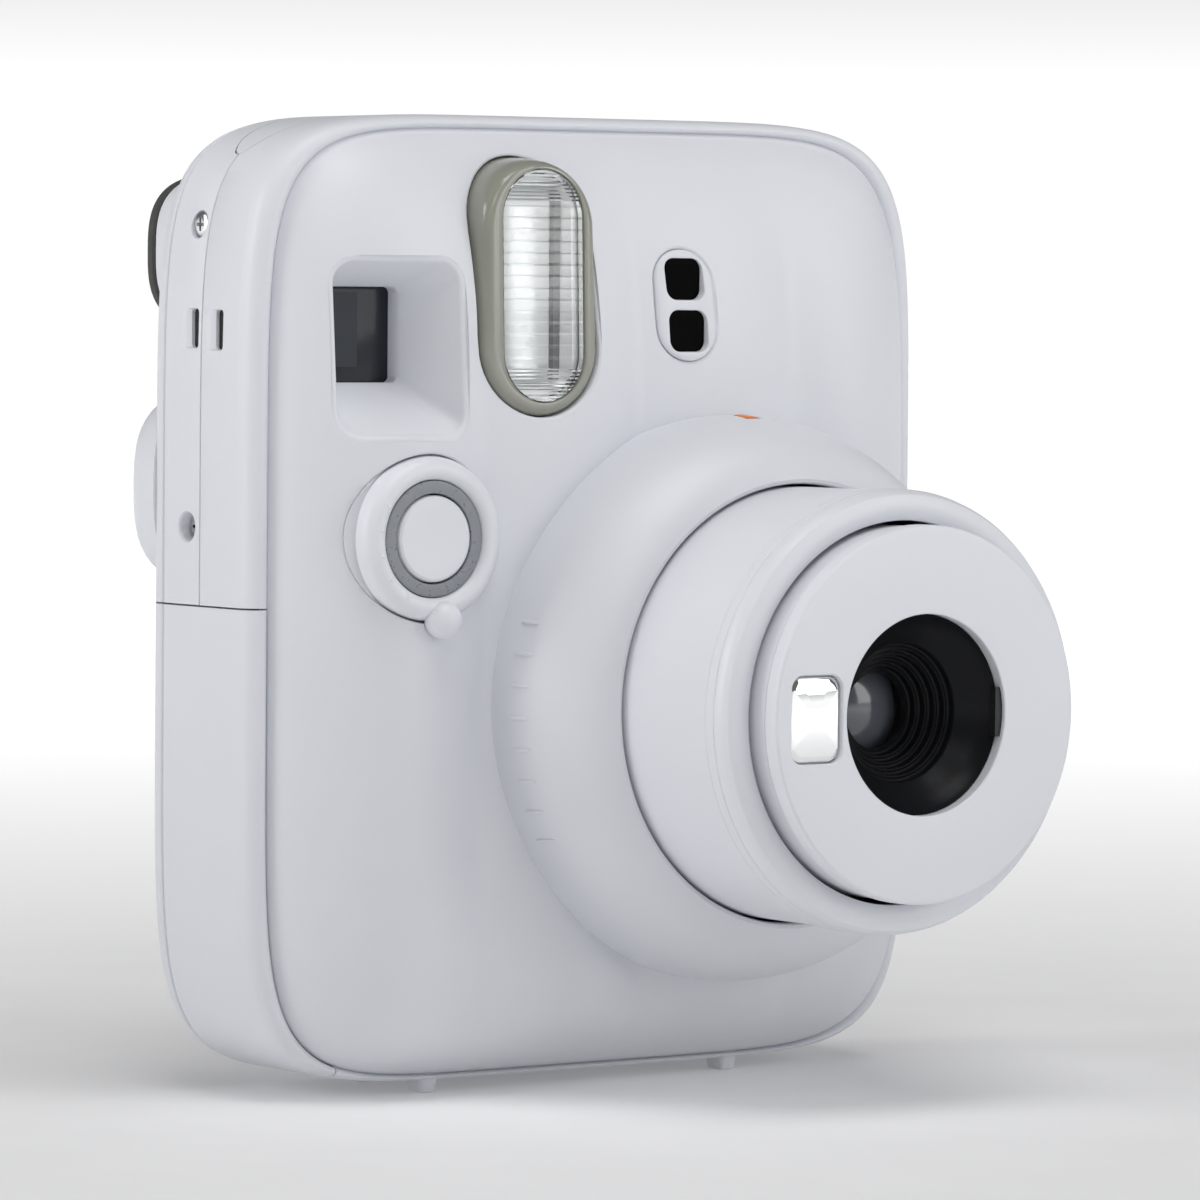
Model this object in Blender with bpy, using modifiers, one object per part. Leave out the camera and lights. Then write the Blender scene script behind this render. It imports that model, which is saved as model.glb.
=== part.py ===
"""Instant camera with a collapsible lens, built as separate solids in metres.

Frame: +X to the right seen from the front, the lens looks along -Y, +Z is up, and the
origin is under the middle of the body on the plane of the feet. Driving dimensions are
in millimetres; every helper turns them into metres. Depths ("y") count from the crease
where the body rim meets the padded front panel: minus is forward, plus is rearward.
"""
import bpy
import bmesh
from math import cos, sin, pi, radians, sqrt
from mathutils import Matrix, Vector

MM = 0.001
GAP = 0.3                # clearance between neighbouring pieces
CREASE_Y = 10.3          # crease plane, measured from the origin towards the rear

# Body outlines: half width, half height, centre height of a superellipse
OUTLINE_POWER = 6.9
CREASE = (48.95, 58.95, 61.35)
OUTER = (52.0, 60.25, 61.75)
INNER = (50.0, 58.6, 61.6)
PANEL_INNER = (48.0, 57.7, 61.35)
PANEL_WALL = 1.9         # thickness of the padded panel
PARTING_Y = 10.5         # seam between front and rear cover
BACK_Y = 22.3            # outer face of the back
BACK_INNER_Y = 19.9

# Padded front panel
PANEL_DEPTH_LOW = 10.9   # how far it stands out near the bottom
PANEL_DEPTH_HIGH = 9.8   # and near the top
SIDE_ROUND = 0.31        # share of the half width taken by the rounded flank
TOP_ROUND = 0.54
BOTTOM_ROUND = 0.20
BAND_COUNT = 4           # vertical padded bands
BAND_CROWN = 1.1         # crown of one band above its valleys

# Lens group, all turned about one axis along Y
LENS_X, LENS_Z = 12.87, 49.05
SHROUD_R = 35.7
RING_R, RING_FRONT_Y, RING_BACK_Y = 27.05, -47.7, -21.0
SLEEVE_INNER_R, SLEEVE_OUTER_R = 23.45, 25.0
BARREL_R, BARREL_WALL = 22.9, 1.7
DISC_R, DISC_FRONT_Y = 23.15, -52.0
APERTURE_R = 12.3
HOOD_BACK_R, HOOD_BACK_Y = 6.4, -41.0
MIRROR = (-7.6, -0.4, 43.9, 54.1)        # x and z limits

# Controls on the front
BUTTON_X, BUTTON_Z, BUTTON_R = -32.7, 69.8, 5.35
RING_KNOB_ANGLE = -83.0  # degrees, seen from the front, 0 at +X
FLASH_X, FLASH_Z, FLASH_HALF_W, FLASH_HALF_H = -15.6, 100.7, 8.6, 16.0
FLASH_FRONT_LOW_Y, FLASH_FRONT_HIGH_Y = -11.3, -10.3   # flat front, at its two ends
SENSOR_X, SENSOR_Z = 7.0, 98.5
EYE_X, EYE_Z, EYE_HALF_W, EYE_HALF_H = -35.9, 104.7, 12.5, 9.9
THUMB = (-39.0, 75.2, 12.8, 9.2, 12.6)   # x, z, half width, height, half length

# Insert round the film slot: middle depth, half length, half width, outline power
LEAF_Y, LEAF_HALF_L, LEAF_HALF_W, LEAF_POWER = 10.6, 46.5, 6.2, 2.4

# Feet: middles in x, half width, and the depth limits of the front and rear pairs
FOOT_X, FOOT_HALF_W, FOOT_TOP_Z = (-24.2, 22.8), 1.75, 3.0
FRONT_FOOT_Y, REAR_FOOT_Y = (-0.4, 3.8), (13.6, 17.6)

# Film side
PACK = (-20.5, 45.4, 7.5, 19.2, 11.4, 105.2)   # x, y, z limits
DOOR = (-24.2, 48.2, 5.8, 108.4)              # opening in the back: x and z limits
HINGE_X, HINGE_Y = -22.7, 21.15
ROLLER_R, ROLLER_Z, FILM_Y = 3.5, 110.6, 8.4

# Battery side
CELL_R, CELL_LOW, CELL_HIGH = 7.0, 17.4, 67.0
CELLS = ((-37.6, 0.3), (-30.0, 12.6))
BATTERY_TOP_Z, BATTERY_EDGE_X, BATTERY_BACK_Y = 61.0, -38.8, 21.3


def clear_scene():
    for old in list(bpy.data.objects):
        bpy.data.objects.remove(old, do_unlink=True)


clear_scene()
PARTS = bpy.data.collections.new("instant_camera")
CUTTERS = bpy.data.collections.new("cutters")
for group in (PARTS, CUTTERS):
    bpy.context.scene.collection.children.link(group)


def material(name, colour, roughness, metallic=0.0, alpha=1.0):
    mat = bpy.data.materials.new(name)
    mat.use_nodes = True
    shader = mat.node_tree.nodes["Principled BSDF"]
    shader.inputs["Base Color"].default_value = (*colour, 1.0)
    shader.inputs["Roughness"].default_value = roughness
    shader.inputs["Metallic"].default_value = metallic
    shader.inputs["Alpha"].default_value = alpha
    mat.diffuse_color = (*colour, 1.0)
    return mat


SHELL_WHITE = material("shell_white", (0.74, 0.75, 0.79), 0.45)
BLACK_PLASTIC = material("black_plastic", (0.02, 0.02, 0.022), 0.5)
RUBBER = material("dark_rubber", (0.07, 0.07, 0.065), 0.8)
CLEAR = material("clear_plastic", (0.9, 0.93, 0.93), 0.05, 0.0, 0.35)
TINTED = material("tinted_bezel", (0.5, 0.52, 0.46), 0.15)
SILVER = material("silver", (0.85, 0.85, 0.87), 0.15, 1.0)
STEEL = material("steel", (0.6, 0.6, 0.62), 0.3, 1.0)
GEAR_WHITE = material("gear_white", (0.85, 0.84, 0.8), 0.5)
BOARD_GREEN = material("board_green", (0.02, 0.18, 0.08), 0.5)
LIGHT_GREY = material("light_grey", (0.45, 0.47, 0.5), 0.4)
CELL_SLEEVE = material("cell_sleeve", (0.1, 0.25, 0.45), 0.35)
ORANGE = material("orange_mark", (0.9, 0.3, 0.05), 0.4)


# ---------------------------------------------------------------- outlines

def world(x, y, z):
    return Vector((x, y + CREASE_Y, z)) * MM


def outline_point(outline, u, v):
    """Map the edge or inside of the unit square onto a superellipse outline."""
    half_w, half_h, centre_z = outline
    size = max(abs(u), abs(v))
    norm = (abs(u) ** OUTLINE_POWER + abs(v) ** OUTLINE_POWER) ** (1 / OUTLINE_POWER)
    pull = size / norm if size else 1.0
    return half_w * u * pull, centre_z + half_h * v * pull


def panel_height(u, v):
    """How far the padded panel stands forward of the crease plane."""
    def flank(distance, share):
        rest = max(0.0, 1.0 - distance / share)
        return sqrt(max(0.0, 1.0 - rest * rest))
    up = (v + 1) / 2
    depth = PANEL_DEPTH_LOW + (PANEL_DEPTH_HIGH - PANEL_DEPTH_LOW) * up
    ends = flank(1 - v, TOP_ROUND) if v > 0 else flank(1 + v, BOTTOM_ROUND)
    edge = flank(1 - abs(u), SIDE_ROUND) * ends
    across = (u + 1) / 2 * BAND_COUNT % 1.0
    crown = BAND_CROWN * 4 * across * (1 - across)
    return depth * edge + crown * edge * ends


def panel_y(x, z):
    """Depth of the panel surface at a point of the front view."""
    half_w, half_h, centre_z = CREASE
    u, v = x / half_w, (z - centre_z) / half_h
    size = max(abs(u), abs(v))
    norm = (abs(u) ** OUTLINE_POWER + abs(v) ** OUTLINE_POWER) ** (1 / OUTLINE_POWER)
    push = norm / size if size else 1.0
    return -panel_height(max(-1, min(1, u * push)), max(-1, min(1, v * push)))


def superellipse(x, z, half_w, half_h, power, count):
    points = []
    for step in range(count):
        angle = 2 * pi * step / count
        c, s = cos(angle), sin(angle)
        points.append((x + half_w * abs(c) ** (2 / power) * (1 if c >= 0 else -1),
                       z + half_h * abs(s) ** (2 / power) * (1 if s >= 0 else -1)))
    return points


def rounded_box(x0, x1, z0, z1, radius, per_corner=4):
    points = []
    for cx, cz, start in ((x1, z1, 0), (x0, z1, 90), (x0, z0, 180), (x1, z0, 270)):
        centre_x = cx - radius if cx == x1 else cx + radius
        centre_z = cz - radius if cz == z1 else cz + radius
        for step in range(per_corner + 1):
            angle = radians(start + 90 * step / per_corner)
            points.append((centre_x + radius * cos(angle), centre_z + radius * sin(angle)))
    return points


def capsule(x, z, half_w, half_h, per_end=12):
    """Straight-sided outline with half-round ends along its longer direction."""
    radius = min(half_w, half_h)
    reach_x, reach_z = half_w - radius, half_h - radius
    start = 0 if half_h >= half_w else -90
    points = []
    for end in (1, -1):
        for step in range(per_end + 1):
            angle = radians(start + (0 if end > 0 else 180) + 180 * step / per_end)
            points.append((x + end * reach_x + radius * cos(angle),
                           z + end * reach_z + radius * sin(angle)))
    return points


# ---------------------------------------------------------------- builders

def add_object(name, mesh, mat, cutter=False):
    obj = bpy.data.objects.new(name, mesh)
    if cutter:
        CUTTERS.objects.link(obj)
        obj.hide_render = True
        obj.display_type = "WIRE"
    else:
        PARTS.objects.link(obj)
        mesh.materials.clear()
        mesh.materials.append(mat)
    return obj


def set_origin(obj, origin):
    """Move the object's origin to a point in the depth frame, mesh staying put."""
    spot = world(*origin)
    obj.data.transform(Matrix.Translation(-spot))
    obj.location = spot


def finish_bmesh(bm, name):
    bmesh.ops.recalc_face_normals(bm, faces=bm.faces)
    mesh = bpy.data.meshes.new(name)
    bm.to_mesh(mesh)
    bm.free()
    return mesh


def box(name, x0, x1, y0, y1, z0, z1, mat=None, origin=None):
    bm = bmesh.new()
    bmesh.ops.create_cube(bm, size=1.0)
    low, high = world(x0, y0, z0), world(x1, y1, z1)
    bmesh.ops.scale(bm, vec=high - low, verts=bm.verts)
    bmesh.ops.translate(bm, vec=(low + high) / 2, verts=bm.verts)
    obj = add_object(name, finish_bmesh(bm, name), mat, mat is None)
    set_origin(obj, origin or ((x0 + x1) / 2, (y0 + y1) / 2, (z0 + z1) / 2))
    return obj


def cylinder(name, axis, radius, start, end, across, mat=None, segments=24, end_radius=None):
    """Cylinder or cone along x, y or z; across holds the two other coordinates in order."""
    bm = bmesh.new()
    last = radius if end_radius is None else end_radius
    bmesh.ops.create_cone(bm, cap_ends=True, segments=segments, radius1=radius * MM,
                          radius2=last * MM, depth=(end - start) * MM)
    turn = {"x": Matrix.Rotation(pi / 2, 4, "Y"), "y": Matrix.Rotation(-pi / 2, 4, "X"),
            "z": Matrix.Identity(4)}[axis]
    bmesh.ops.transform(bm, matrix=turn, verts=bm.verts)
    middle = (start + end) / 2
    spot = {"x": (middle, *across), "y": (across[0], middle, across[1]),
            "z": (*across, middle)}[axis]
    obj = add_object(name, finish_bmesh(bm, name), mat, mat is None)
    obj.location = world(*spot)
    return obj


def turned(name, profile, mat=None, segments=48, centre=(LENS_X, LENS_Z), angle=360.0):
    """Closed profile of (radius, forward distance) points turned about an axis along -Y."""
    mesh = bpy.data.meshes.new(name)
    points = [(radius * MM, 0.0, forward * MM) for radius, forward in profile]
    edges = [(i, (i + 1) % len(points)) for i in range(len(points))]
    if profile[0][0] == 0.0 and profile[-1][0] == 0.0:
        edges.pop()
    mesh.from_pydata(points, edges, [])
    obj = add_object(name, mesh, mat, mat is None)
    obj.location = world(centre[0], 0.0, centre[1])
    obj.rotation_euler = (pi / 2, 0.0, 0.0)
    screw = obj.modifiers.new("Turn", "SCREW")
    screw.angle = radians(angle)
    screw.steps = screw.render_steps = segments
    screw.use_merge_vertices = True
    screw.merge_threshold = 0.00001
    screw.use_smooth_shade = True
    screw.use_normal_calculate = False
    return obj


def tube_profile(inner, outer, back, front):
    """Ring section with back and front as depths, outer side first from the front."""
    return [(outer, -front), (outer, -back), (inner, -back), (inner, -front)]


def flanged(inner, hub, outer, back, flange_back, front):
    """Ring section with a thin flange level with its front and a hub behind it."""
    return [(outer, -front), (outer, -flange_back), (hub, -flange_back), (hub, -back),
            (inner, -back), (inner, -front)]


def baked(obj):
    """Replace an object's modifiers and transform by the mesh they give."""
    bpy.context.view_layer.update()
    graph = bpy.context.evaluated_depsgraph_get()
    mesh = bpy.data.meshes.new_from_object(obj.evaluated_get(graph))
    mesh.transform(obj.matrix_world)
    obj.modifiers.clear()
    obj.data = mesh
    obj.matrix_world = Matrix.Identity(4)
    return obj


def plate(name, outline, axis, start, end, mat=None):
    """Flat outline extruded along an axis, as a filled 2D curve turned into a mesh."""
    curve = bpy.data.curves.new(name, "CURVE")
    curve.dimensions = "2D"
    curve.fill_mode = "BOTH"
    curve.extrude = (end - start) / 2 * MM
    spline = curve.splines.new("POLY")
    spline.points.add(len(outline) - 1)
    for point, (across, up) in zip(spline.points, outline):
        point.co = (across * MM, up * MM, 0.0, 1.0)
    spline.use_cyclic_u = True
    guide = bpy.data.objects.new(name + "_curve", curve)
    bpy.context.scene.collection.objects.link(guide)
    middle = (start + end) / 2
    if axis == "y":
        guide.rotation_euler = (pi / 2, 0.0, 0.0)
        guide.location = world(0, middle, 0)
    elif axis == "x":
        guide.rotation_euler = (pi / 2, 0.0, pi / 2)
        guide.location = world(middle, 0, 0)
    else:
        guide.location = world(0, 0, middle)
    bpy.context.view_layer.update()
    graph = bpy.context.evaluated_depsgraph_get()
    mesh = bpy.data.meshes.new_from_object(guide.evaluated_get(graph))
    mesh.transform(guide.matrix_world)
    bm = bmesh.new()
    bm.from_mesh(mesh)
    bmesh.ops.remove_doubles(bm, verts=bm.verts, dist=0.000001)
    bpy.data.objects.remove(guide, do_unlink=True)
    return add_object(name, finish_bmesh(bm, name), mat, mat is None)


def loft(name, rings, mat=None):
    """Solid through rings of equal point counts, ends closed with flat faces."""
    bm = bmesh.new()
    loops = [[bm.verts.new(world(*point)) for point in ring] for ring in rings]
    count = len(loops[0])
    for first, second in zip(loops, loops[1:]):
        for i in range(count):
            j = (i + 1) % count
            bm.faces.new((first[i], first[j], second[j], second[i]))
    bm.faces.new(loops[0][::-1])
    bm.faces.new(loops[-1])
    return add_object(name, finish_bmesh(bm, name), mat, mat is None)


def boolean(obj, operation, *others):
    for other in others:
        step = obj.modifiers.new(operation.title(), "BOOLEAN")
        step.operation = operation
        step.object = other
        step.solver = "EXACT"
    return obj


def cut(obj, *cutters):
    return boolean(obj, "DIFFERENCE", *cutters)


def join(obj, *added):
    return boolean(obj, "UNION", *added)


def keep_inside(obj, volume):
    return boolean(obj, "INTERSECT", volume)


# ---------------------------------------------------------------- body shells

GRID = 16


def column(i):
    """Grid line i across the width, with more lines on the rounded flanks."""
    t = 2 * i / GRID - 1
    if abs(t) <= 0.5:
        return t
    push = 0.5 + 0.5 * sin((abs(t) - 0.5) * pi)
    return push if t > 0 else -push


def row(i):
    return sin((2 * i / GRID - 1) * pi / 2)


def edge_parameters():
    """Parameters of the grid's boundary, once around."""
    steps = range(GRID)
    bottom = [(column(i), -1.0) for i in steps]
    right = [(1.0, row(i)) for i in steps]
    top = [(column(GRID - i), 1.0) for i in steps]
    left = [(-1.0, row(GRID - i)) for i in steps]
    return bottom + right + top + left


def add_grid(bm, outline, depth):
    """Grid over an outline; depth(u, v) gives y."""
    verts = {}
    for i in range(GRID + 1):
        for j in range(GRID + 1):
            u, v = column(i), row(j)
            x, z = outline_point(outline, u, v)
            verts[i, j] = bm.verts.new(world(x, depth(u, v), z))
    for i in range(GRID):
        for j in range(GRID):
            bm.faces.new((verts[i, j], verts[i + 1, j], verts[i + 1, j + 1], verts[i, j + 1]))


def add_rings(bm, stations):
    """Wall through stations of (outline, y), quads between neighbours."""
    loops = []
    for outline, y in stations:
        ring = []
        for u, v in edge_parameters():
            x, z = outline_point(outline, u, v)
            ring.append(bm.verts.new(world(x, y, z)))
        loops.append(ring)
    count = len(loops[0])
    for first, second in zip(loops, loops[1:]):
        for i in range(count):
            j = (i + 1) % count
            bm.faces.new((first[i], first[j], second[j], second[i]))


def close_shell(bm, name):
    bmesh.ops.remove_doubles(bm, verts=bm.verts, dist=0.000001)
    return finish_bmesh(bm, name)


def between(first, second, share):
    return tuple(a + (b - a) * share for a, b in zip(first, second))


def inset(outline, amount):
    return outline[0] - amount, outline[1] - amount, outline[2]


RIM = ((0.0, 0.0), (0.15, -0.55), (0.4, -0.75), (0.7, -0.25), (0.9, 0.8), (1.0, 2.4))


def rim_stations():
    """Rounded rim from the crease out to the side wall."""
    return [(between(CREASE, OUTER, share), y) for share, y in RIM]


def pillow_volume(name, proud):
    """Solid behind the padded panel's surface moved forward by proud."""
    bm = bmesh.new()
    add_grid(bm, CREASE, lambda u, v: -panel_height(u, v) - proud)
    add_rings(bm, [(CREASE, -proud), (CREASE, 6.0)])
    add_grid(bm, CREASE, lambda u, v: 6.0)
    return add_object(name, close_shell(bm, name), None, True)


def battery_zone(name, margin):
    """Region of the outer wall that the battery door takes up."""
    zone = box(name, -60, BATTERY_EDGE_X + margin, -3, BATTERY_BACK_Y + margin,
               -5, BATTERY_TOP_Z + margin)
    ring = [outline_point(inset(CREASE, margin - 0.08), u, v) for u, v in edge_parameters()]
    core = plate(name + "_core", ring, "y", -12, 40)
    return cut(zone, core)


def wall_ring(name, mat, thickness, front, back):
    """Band of body wall from the crease rearwards, between two depths."""
    bm = bmesh.new()
    outer = rim_stations() + [(OUTER, 12.0), (OUTER, 18.7), (inset(OUTER, 0.5), 18.9),
                              (inset(OUTER, 0.5), 19.2), (inset(OUTER, 0.1), 19.4),
                              (inset(OUTER, 0.35), back)]
    inner = inset(OUTER, thickness)
    add_rings(bm, outer + [(inner, back), (inner, front), (CREASE, front), (CREASE, 0.0)])
    return add_object(name, close_shell(bm, name), mat)


def leaf_prism(name, margin):
    """Upright prism with the lens-shaped outline of the top insert."""
    points = superellipse(0.0, LEAF_Y, LEAF_HALF_L + margin, LEAF_HALF_W + margin, LEAF_POWER, 48)
    return plate(name, points, "z", 104, 126)


def feet(name, front, back):
    return [box(name, x - FOOT_HALF_W, x + FOOT_HALF_W, front, back, 0.0, FOOT_TOP_Z) for x in FOOT_X]


def front_cover():
    bm = bmesh.new()
    add_grid(bm, CREASE, lambda u, v: -panel_height(u, v))
    stations = rim_stations() + [(OUTER, PARTING_Y - GAP / 2), (INNER, PARTING_Y - GAP / 2),
                                 (INNER, PANEL_WALL), (PANEL_INNER, PANEL_WALL)]
    add_rings(bm, stations)
    add_grid(bm, PANEL_INNER, lambda u, v: PANEL_WALL - panel_height(u, v))
    cover = add_object("front_cover", close_shell(bm, "front_cover"), SHELL_WHITE)
    dome = [(26.0 + 9.7 * cos(radians(a)), 13.0 + 14.3 * sin(radians(a)))
            for a in (81.6, 68, 54, 40, 26, 12, 0)]
    inner_dome = [(24.0 + 9.4 * cos(radians(a)), 12.5 + 12.8 * sin(radians(a)))
                  for a in (0, 20, 40, 60, 68.8)]
    shroud = turned("shroud_volume", dome + [(SHROUD_R, 1.5), (33.4, 1.5)] + inner_dome)
    core = cylinder("shroud_core", "y", 33.3, -12.5, 8.0, (LENS_X, LENS_Z), segments=48)
    finder_block = box("finder_block", -44.6, -26.1, -7.6, 0.0, 80.9, 105.3)
    boss = cylinder("button_boss", "y", 11.6, -10.6, -7.0, (BUTTON_X, BUTTON_Z), segments=32)
    for inner in (finder_block, boss):
        keep_inside(inner, pillow_volume(inner.name + "_limit", -0.7))
    join(cover, shroud, finder_block, boss, *feet("front_foot", *FRONT_FOOT_Y))
    funnel = loft("finder_funnel", [
        [(x, -13.0, z) for x, z in rounded_box(-43.7, -27.2, 81.6, 104.3, 3.5)],
        [(x, -8.5, z) for x, z in rounded_box(-43.2, -27.8, 82.6, 103.4, 3.0)],
        [(x, -1.6, z) for x, z in rounded_box(-41.9, -29.6, 88.0, 101.1, 1.0)],
        [(x, 0.5, z) for x, z in rounded_box(-41.9, -29.6, 88.0, 101.1, 1.0)]])
    face = panel_y(BUTTON_X, BUTTON_Z)
    recess = cylinder("timer_recess", "y", 10.45, -16, face + 1.4, (BUTTON_X, BUTTON_Z), segments=40)
    bore = cylinder("button_bore", "y", 6.95, -16, 0, (BUTTON_X, BUTTON_Z), segments=32)
    flash = plate("flash_opening", capsule(FLASH_X, FLASH_Z, FLASH_HALF_W + GAP,
                                           FLASH_HALF_H + GAP), "y", -16, 4)
    sensor = plate("sensor_opening", capsule(SENSOR_X, SENSOR_Z, 4.25 + GAP, 7.0 + GAP, 4),
                   "y", -16, 4)
    mark = box("mark_pocket", LENS_X - 1.2, LENS_X + 1.2, -17.0, -13.2, LENS_Z + 34.3, LENS_Z + 37)
    strap = box("strap_slot_front", -56, -47, 5.6, 7.2, 92.6, 97.5)
    cut(cover, core, funnel, recess, bore, flash, sensor, mark, strap,
        battery_zone("battery_zone_front", GAP / 2), leaf_prism("leaf_front", GAP / 2))
    return cover


def door_limit(name, margin):
    """Body outline that rounds the door's outer corners."""
    ring = [outline_point(inset(OUTER, 2.6 + margin), u, v) for u, v in edge_parameters()]
    return plate(name, ring, "y", 10, 40)


def thumb_rest():
    """Rounded thumb rest on the grip side of the back."""
    x, z, half_w, height, half_l = THUMB
    bm = bmesh.new()
    bmesh.ops.create_uvsphere(bm, u_segments=24, v_segments=12, radius=1.0)
    for vert in bm.verts:
        norm = sum(abs(c) ** 3 for c in vert.co) ** (1 / 3)
        shape = vert.co / norm
        vert.co = world(x + shape.x * half_w, BACK_Y - 0.3 + shape.z * (height + 0.2),
                        z + shape.y * half_l)
    bmesh.ops.bisect_plane(bm, geom=bm.verts[:] + bm.edges[:] + bm.faces[:],
                           plane_co=world(0, BACK_Y - 0.9, 0), plane_no=(0, 1, 0),
                           clear_inner=True)
    bmesh.ops.holes_fill(bm, edges=[e for e in bm.edges if e.is_boundary])
    return add_object("thumb_volume", finish_bmesh(bm, "thumb_volume"), None, True)


def rear_cover():
    bm = bmesh.new()
    outer = [(INNER, PARTING_Y + GAP / 2), (OUTER, PARTING_Y + GAP / 2), (OUTER, 18.7),
             (inset(OUTER, 0.5), 18.9), (inset(OUTER, 0.5), 19.2), (inset(OUTER, 0.1), 19.4),
             (inset(OUTER, 0.35), 21.0), (inset(OUTER, 0.9), 21.9), (inset(OUTER, 2.0), BACK_Y)]
    add_rings(bm, outer)
    add_grid(bm, inset(OUTER, 2.0), lambda u, v: BACK_Y)
    add_rings(bm, [(INNER, PARTING_Y + GAP / 2), (INNER, BACK_INNER_Y)])
    add_grid(bm, INNER, lambda u, v: BACK_INNER_Y)
    cover = add_object("rear_cover", close_shell(bm, "rear_cover"), SHELL_WHITE)
    housing = plate("eye_housing", superellipse(EYE_X, EYE_Z, EYE_HALF_W, EYE_HALF_H, 3.0, 32),
                    "y", BACK_Y - 0.7, 26.8)
    join(cover, housing, thumb_rest(), *feet("rear_foot", *REAR_FOOT_Y))
    x0, x1, z0, z1 = DOOR
    opening = plate("door_opening", rounded_box(x0, x1, z0, z1, 1.2), "y", 15, 30)
    keep_inside(opening, door_limit("door_opening_limit", 0.0))
    duct = box("eye_duct", -42.1, -29.7, 15, 32, 96.4, 107.3)
    counter = plate("counter_opening", capsule(34.0, 113.0, 3.3, 2.3, 4), "y", 15, 30)
    screws = [cylinder("screw_recess", "x", 2.3, -56, -49.9, (y, z), segments=20)
              for y, z in ((12.9, 108.0), (13.4, 70.7))]
    strap = box("strap_slot_rear", -56, -47, 11.5, 13.3, 92.8, 97.6)
    pins = [cylinder("pin_hole", "z", 0.95, low, high, (HINGE_X, HINGE_Y), segments=16)
            for low, high in ((z0 - 3.5, z0 + 1), (z1 - 1, z1 + 3.5))]
    notch = box("latch_notch", x1 - 1, x1 + 1.6, 20.2, 22.0, 52.6, 61.4)
    cut(cover, opening, duct, counter, *screws, strap, *pins, notch,
        battery_zone("battery_zone_rear", GAP / 2), leaf_prism("leaf_rear", GAP / 2))
    return cover


def battery_door():
    door = wall_ring("battery_door", SHELL_WHITE, 1.8, 1.2, BATTERY_BACK_Y)
    zone = battery_zone("battery_door_zone", -GAP / 2)
    keep_inside(door, zone)
    return door


def top_slot_bezel():
    bezel = wall_ring("top_slot_bezel", SHELL_WHITE, 1.6, 1.2, BATTERY_BACK_Y)
    keep_inside(bezel, leaf_prism("leaf_volume", -GAP / 2))
    slot = plate("film_slot", capsule(LENS_X, FILM_Y, 28.5, 1.0, 4), "z", 100, 130)
    cut(bezel, slot)
    return bezel


# ---------------------------------------------------------------- front details

def flash_volume(name, recess):
    """Solid behind the flash unit's flat front moved rearwards by recess."""
    ends = ((FLASH_FRONT_LOW_Y, FLASH_Z - FLASH_HALF_H - 1), (FLASH_FRONT_HIGH_Y, FLASH_Z + FLASH_HALF_H + 1))
    sides = (FLASH_X - FLASH_HALF_W - 1, FLASH_X + FLASH_HALF_W + 1)
    front = [(sides[i], ends[j][0] + recess, ends[j][1]) for i, j in ((0, 0), (1, 0), (1, 1), (0, 1))]
    return loft(name, [front, [(x, 6.0, z) for x, y, z in front]])


def flash_unit():
    outer = capsule(FLASH_X, FLASH_Z, FLASH_HALF_W, FLASH_HALF_H)
    lens_x, lens_z, lens_w, lens_h = FLASH_X + 0.4, FLASH_Z + 0.1, 6.0, 14.3
    bezel = plate("flash_bezel", outer, "y", -17, -1.0, TINTED)
    keep_inside(bezel, flash_volume("flash_bezel_volume", 0.0))
    cut(bezel, plate("flash_lens_seat", capsule(lens_x, lens_z, lens_w + GAP, lens_h + GAP),
                     "y", -20, 4))
    lens = plate("flash_lens", capsule(lens_x, lens_z, lens_w, lens_h), "y", -16, 4, CLEAR)
    keep_inside(lens, flash_volume("flash_lens_front", 0.3))
    cut(lens, flash_volume("flash_lens_back", 1.8))
    reflector = plate("flash_reflector", capsule(lens_x, lens_z, lens_w, lens_h), "y", -16, -0.4,
                      SILVER)
    keep_inside(reflector, flash_volume("reflector_front", 2.2))
    trough = loft("reflector_trough", [
        [(x, -16.0, z) for x, z in rounded_box(lens_x - 5.4, lens_x + 5.4, lens_z - 12.4,
                                               lens_z + 11.4, 2.0)],
        [(x, -1.6, z) for x, z in rounded_box(lens_x - 2.0, lens_x + 2.0, lens_z - 11.6,
                                              lens_z + 9.6, 1.0)]])
    cut(reflector, trough)
    cylinder("flash_tube", "z", 1.2, lens_z - 10.8, lens_z + 8.8, (lens_x, -3.4), CLEAR, 12)


def sensor_unit():
    bezel = plate("sensor_bezel", capsule(SENSOR_X, SENSOR_Z, 4.25, 7.0, 4), "y", -16, -5.5,
                  SHELL_WHITE)
    keep_inside(bezel, pillow_volume("sensor_volume", 0.3))
    for name, z in (("light_sensor_upper", 101.75), ("light_sensor_lower", 95.25)):
        cut(bezel, plate(name + "_hole", rounded_box(SENSOR_X - 2.85, SENSOR_X + 2.85, z - 2.65,
                                                     z + 2.65, 1.3, 3), "y", -20, 4))
        plate(name, rounded_box(SENSOR_X - 2.5, SENSOR_X + 2.5, z - 2.3, z + 2.3, 1.0, 3), "y",
              -8.0, -5.8, BLACK_PLASTIC)


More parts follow.
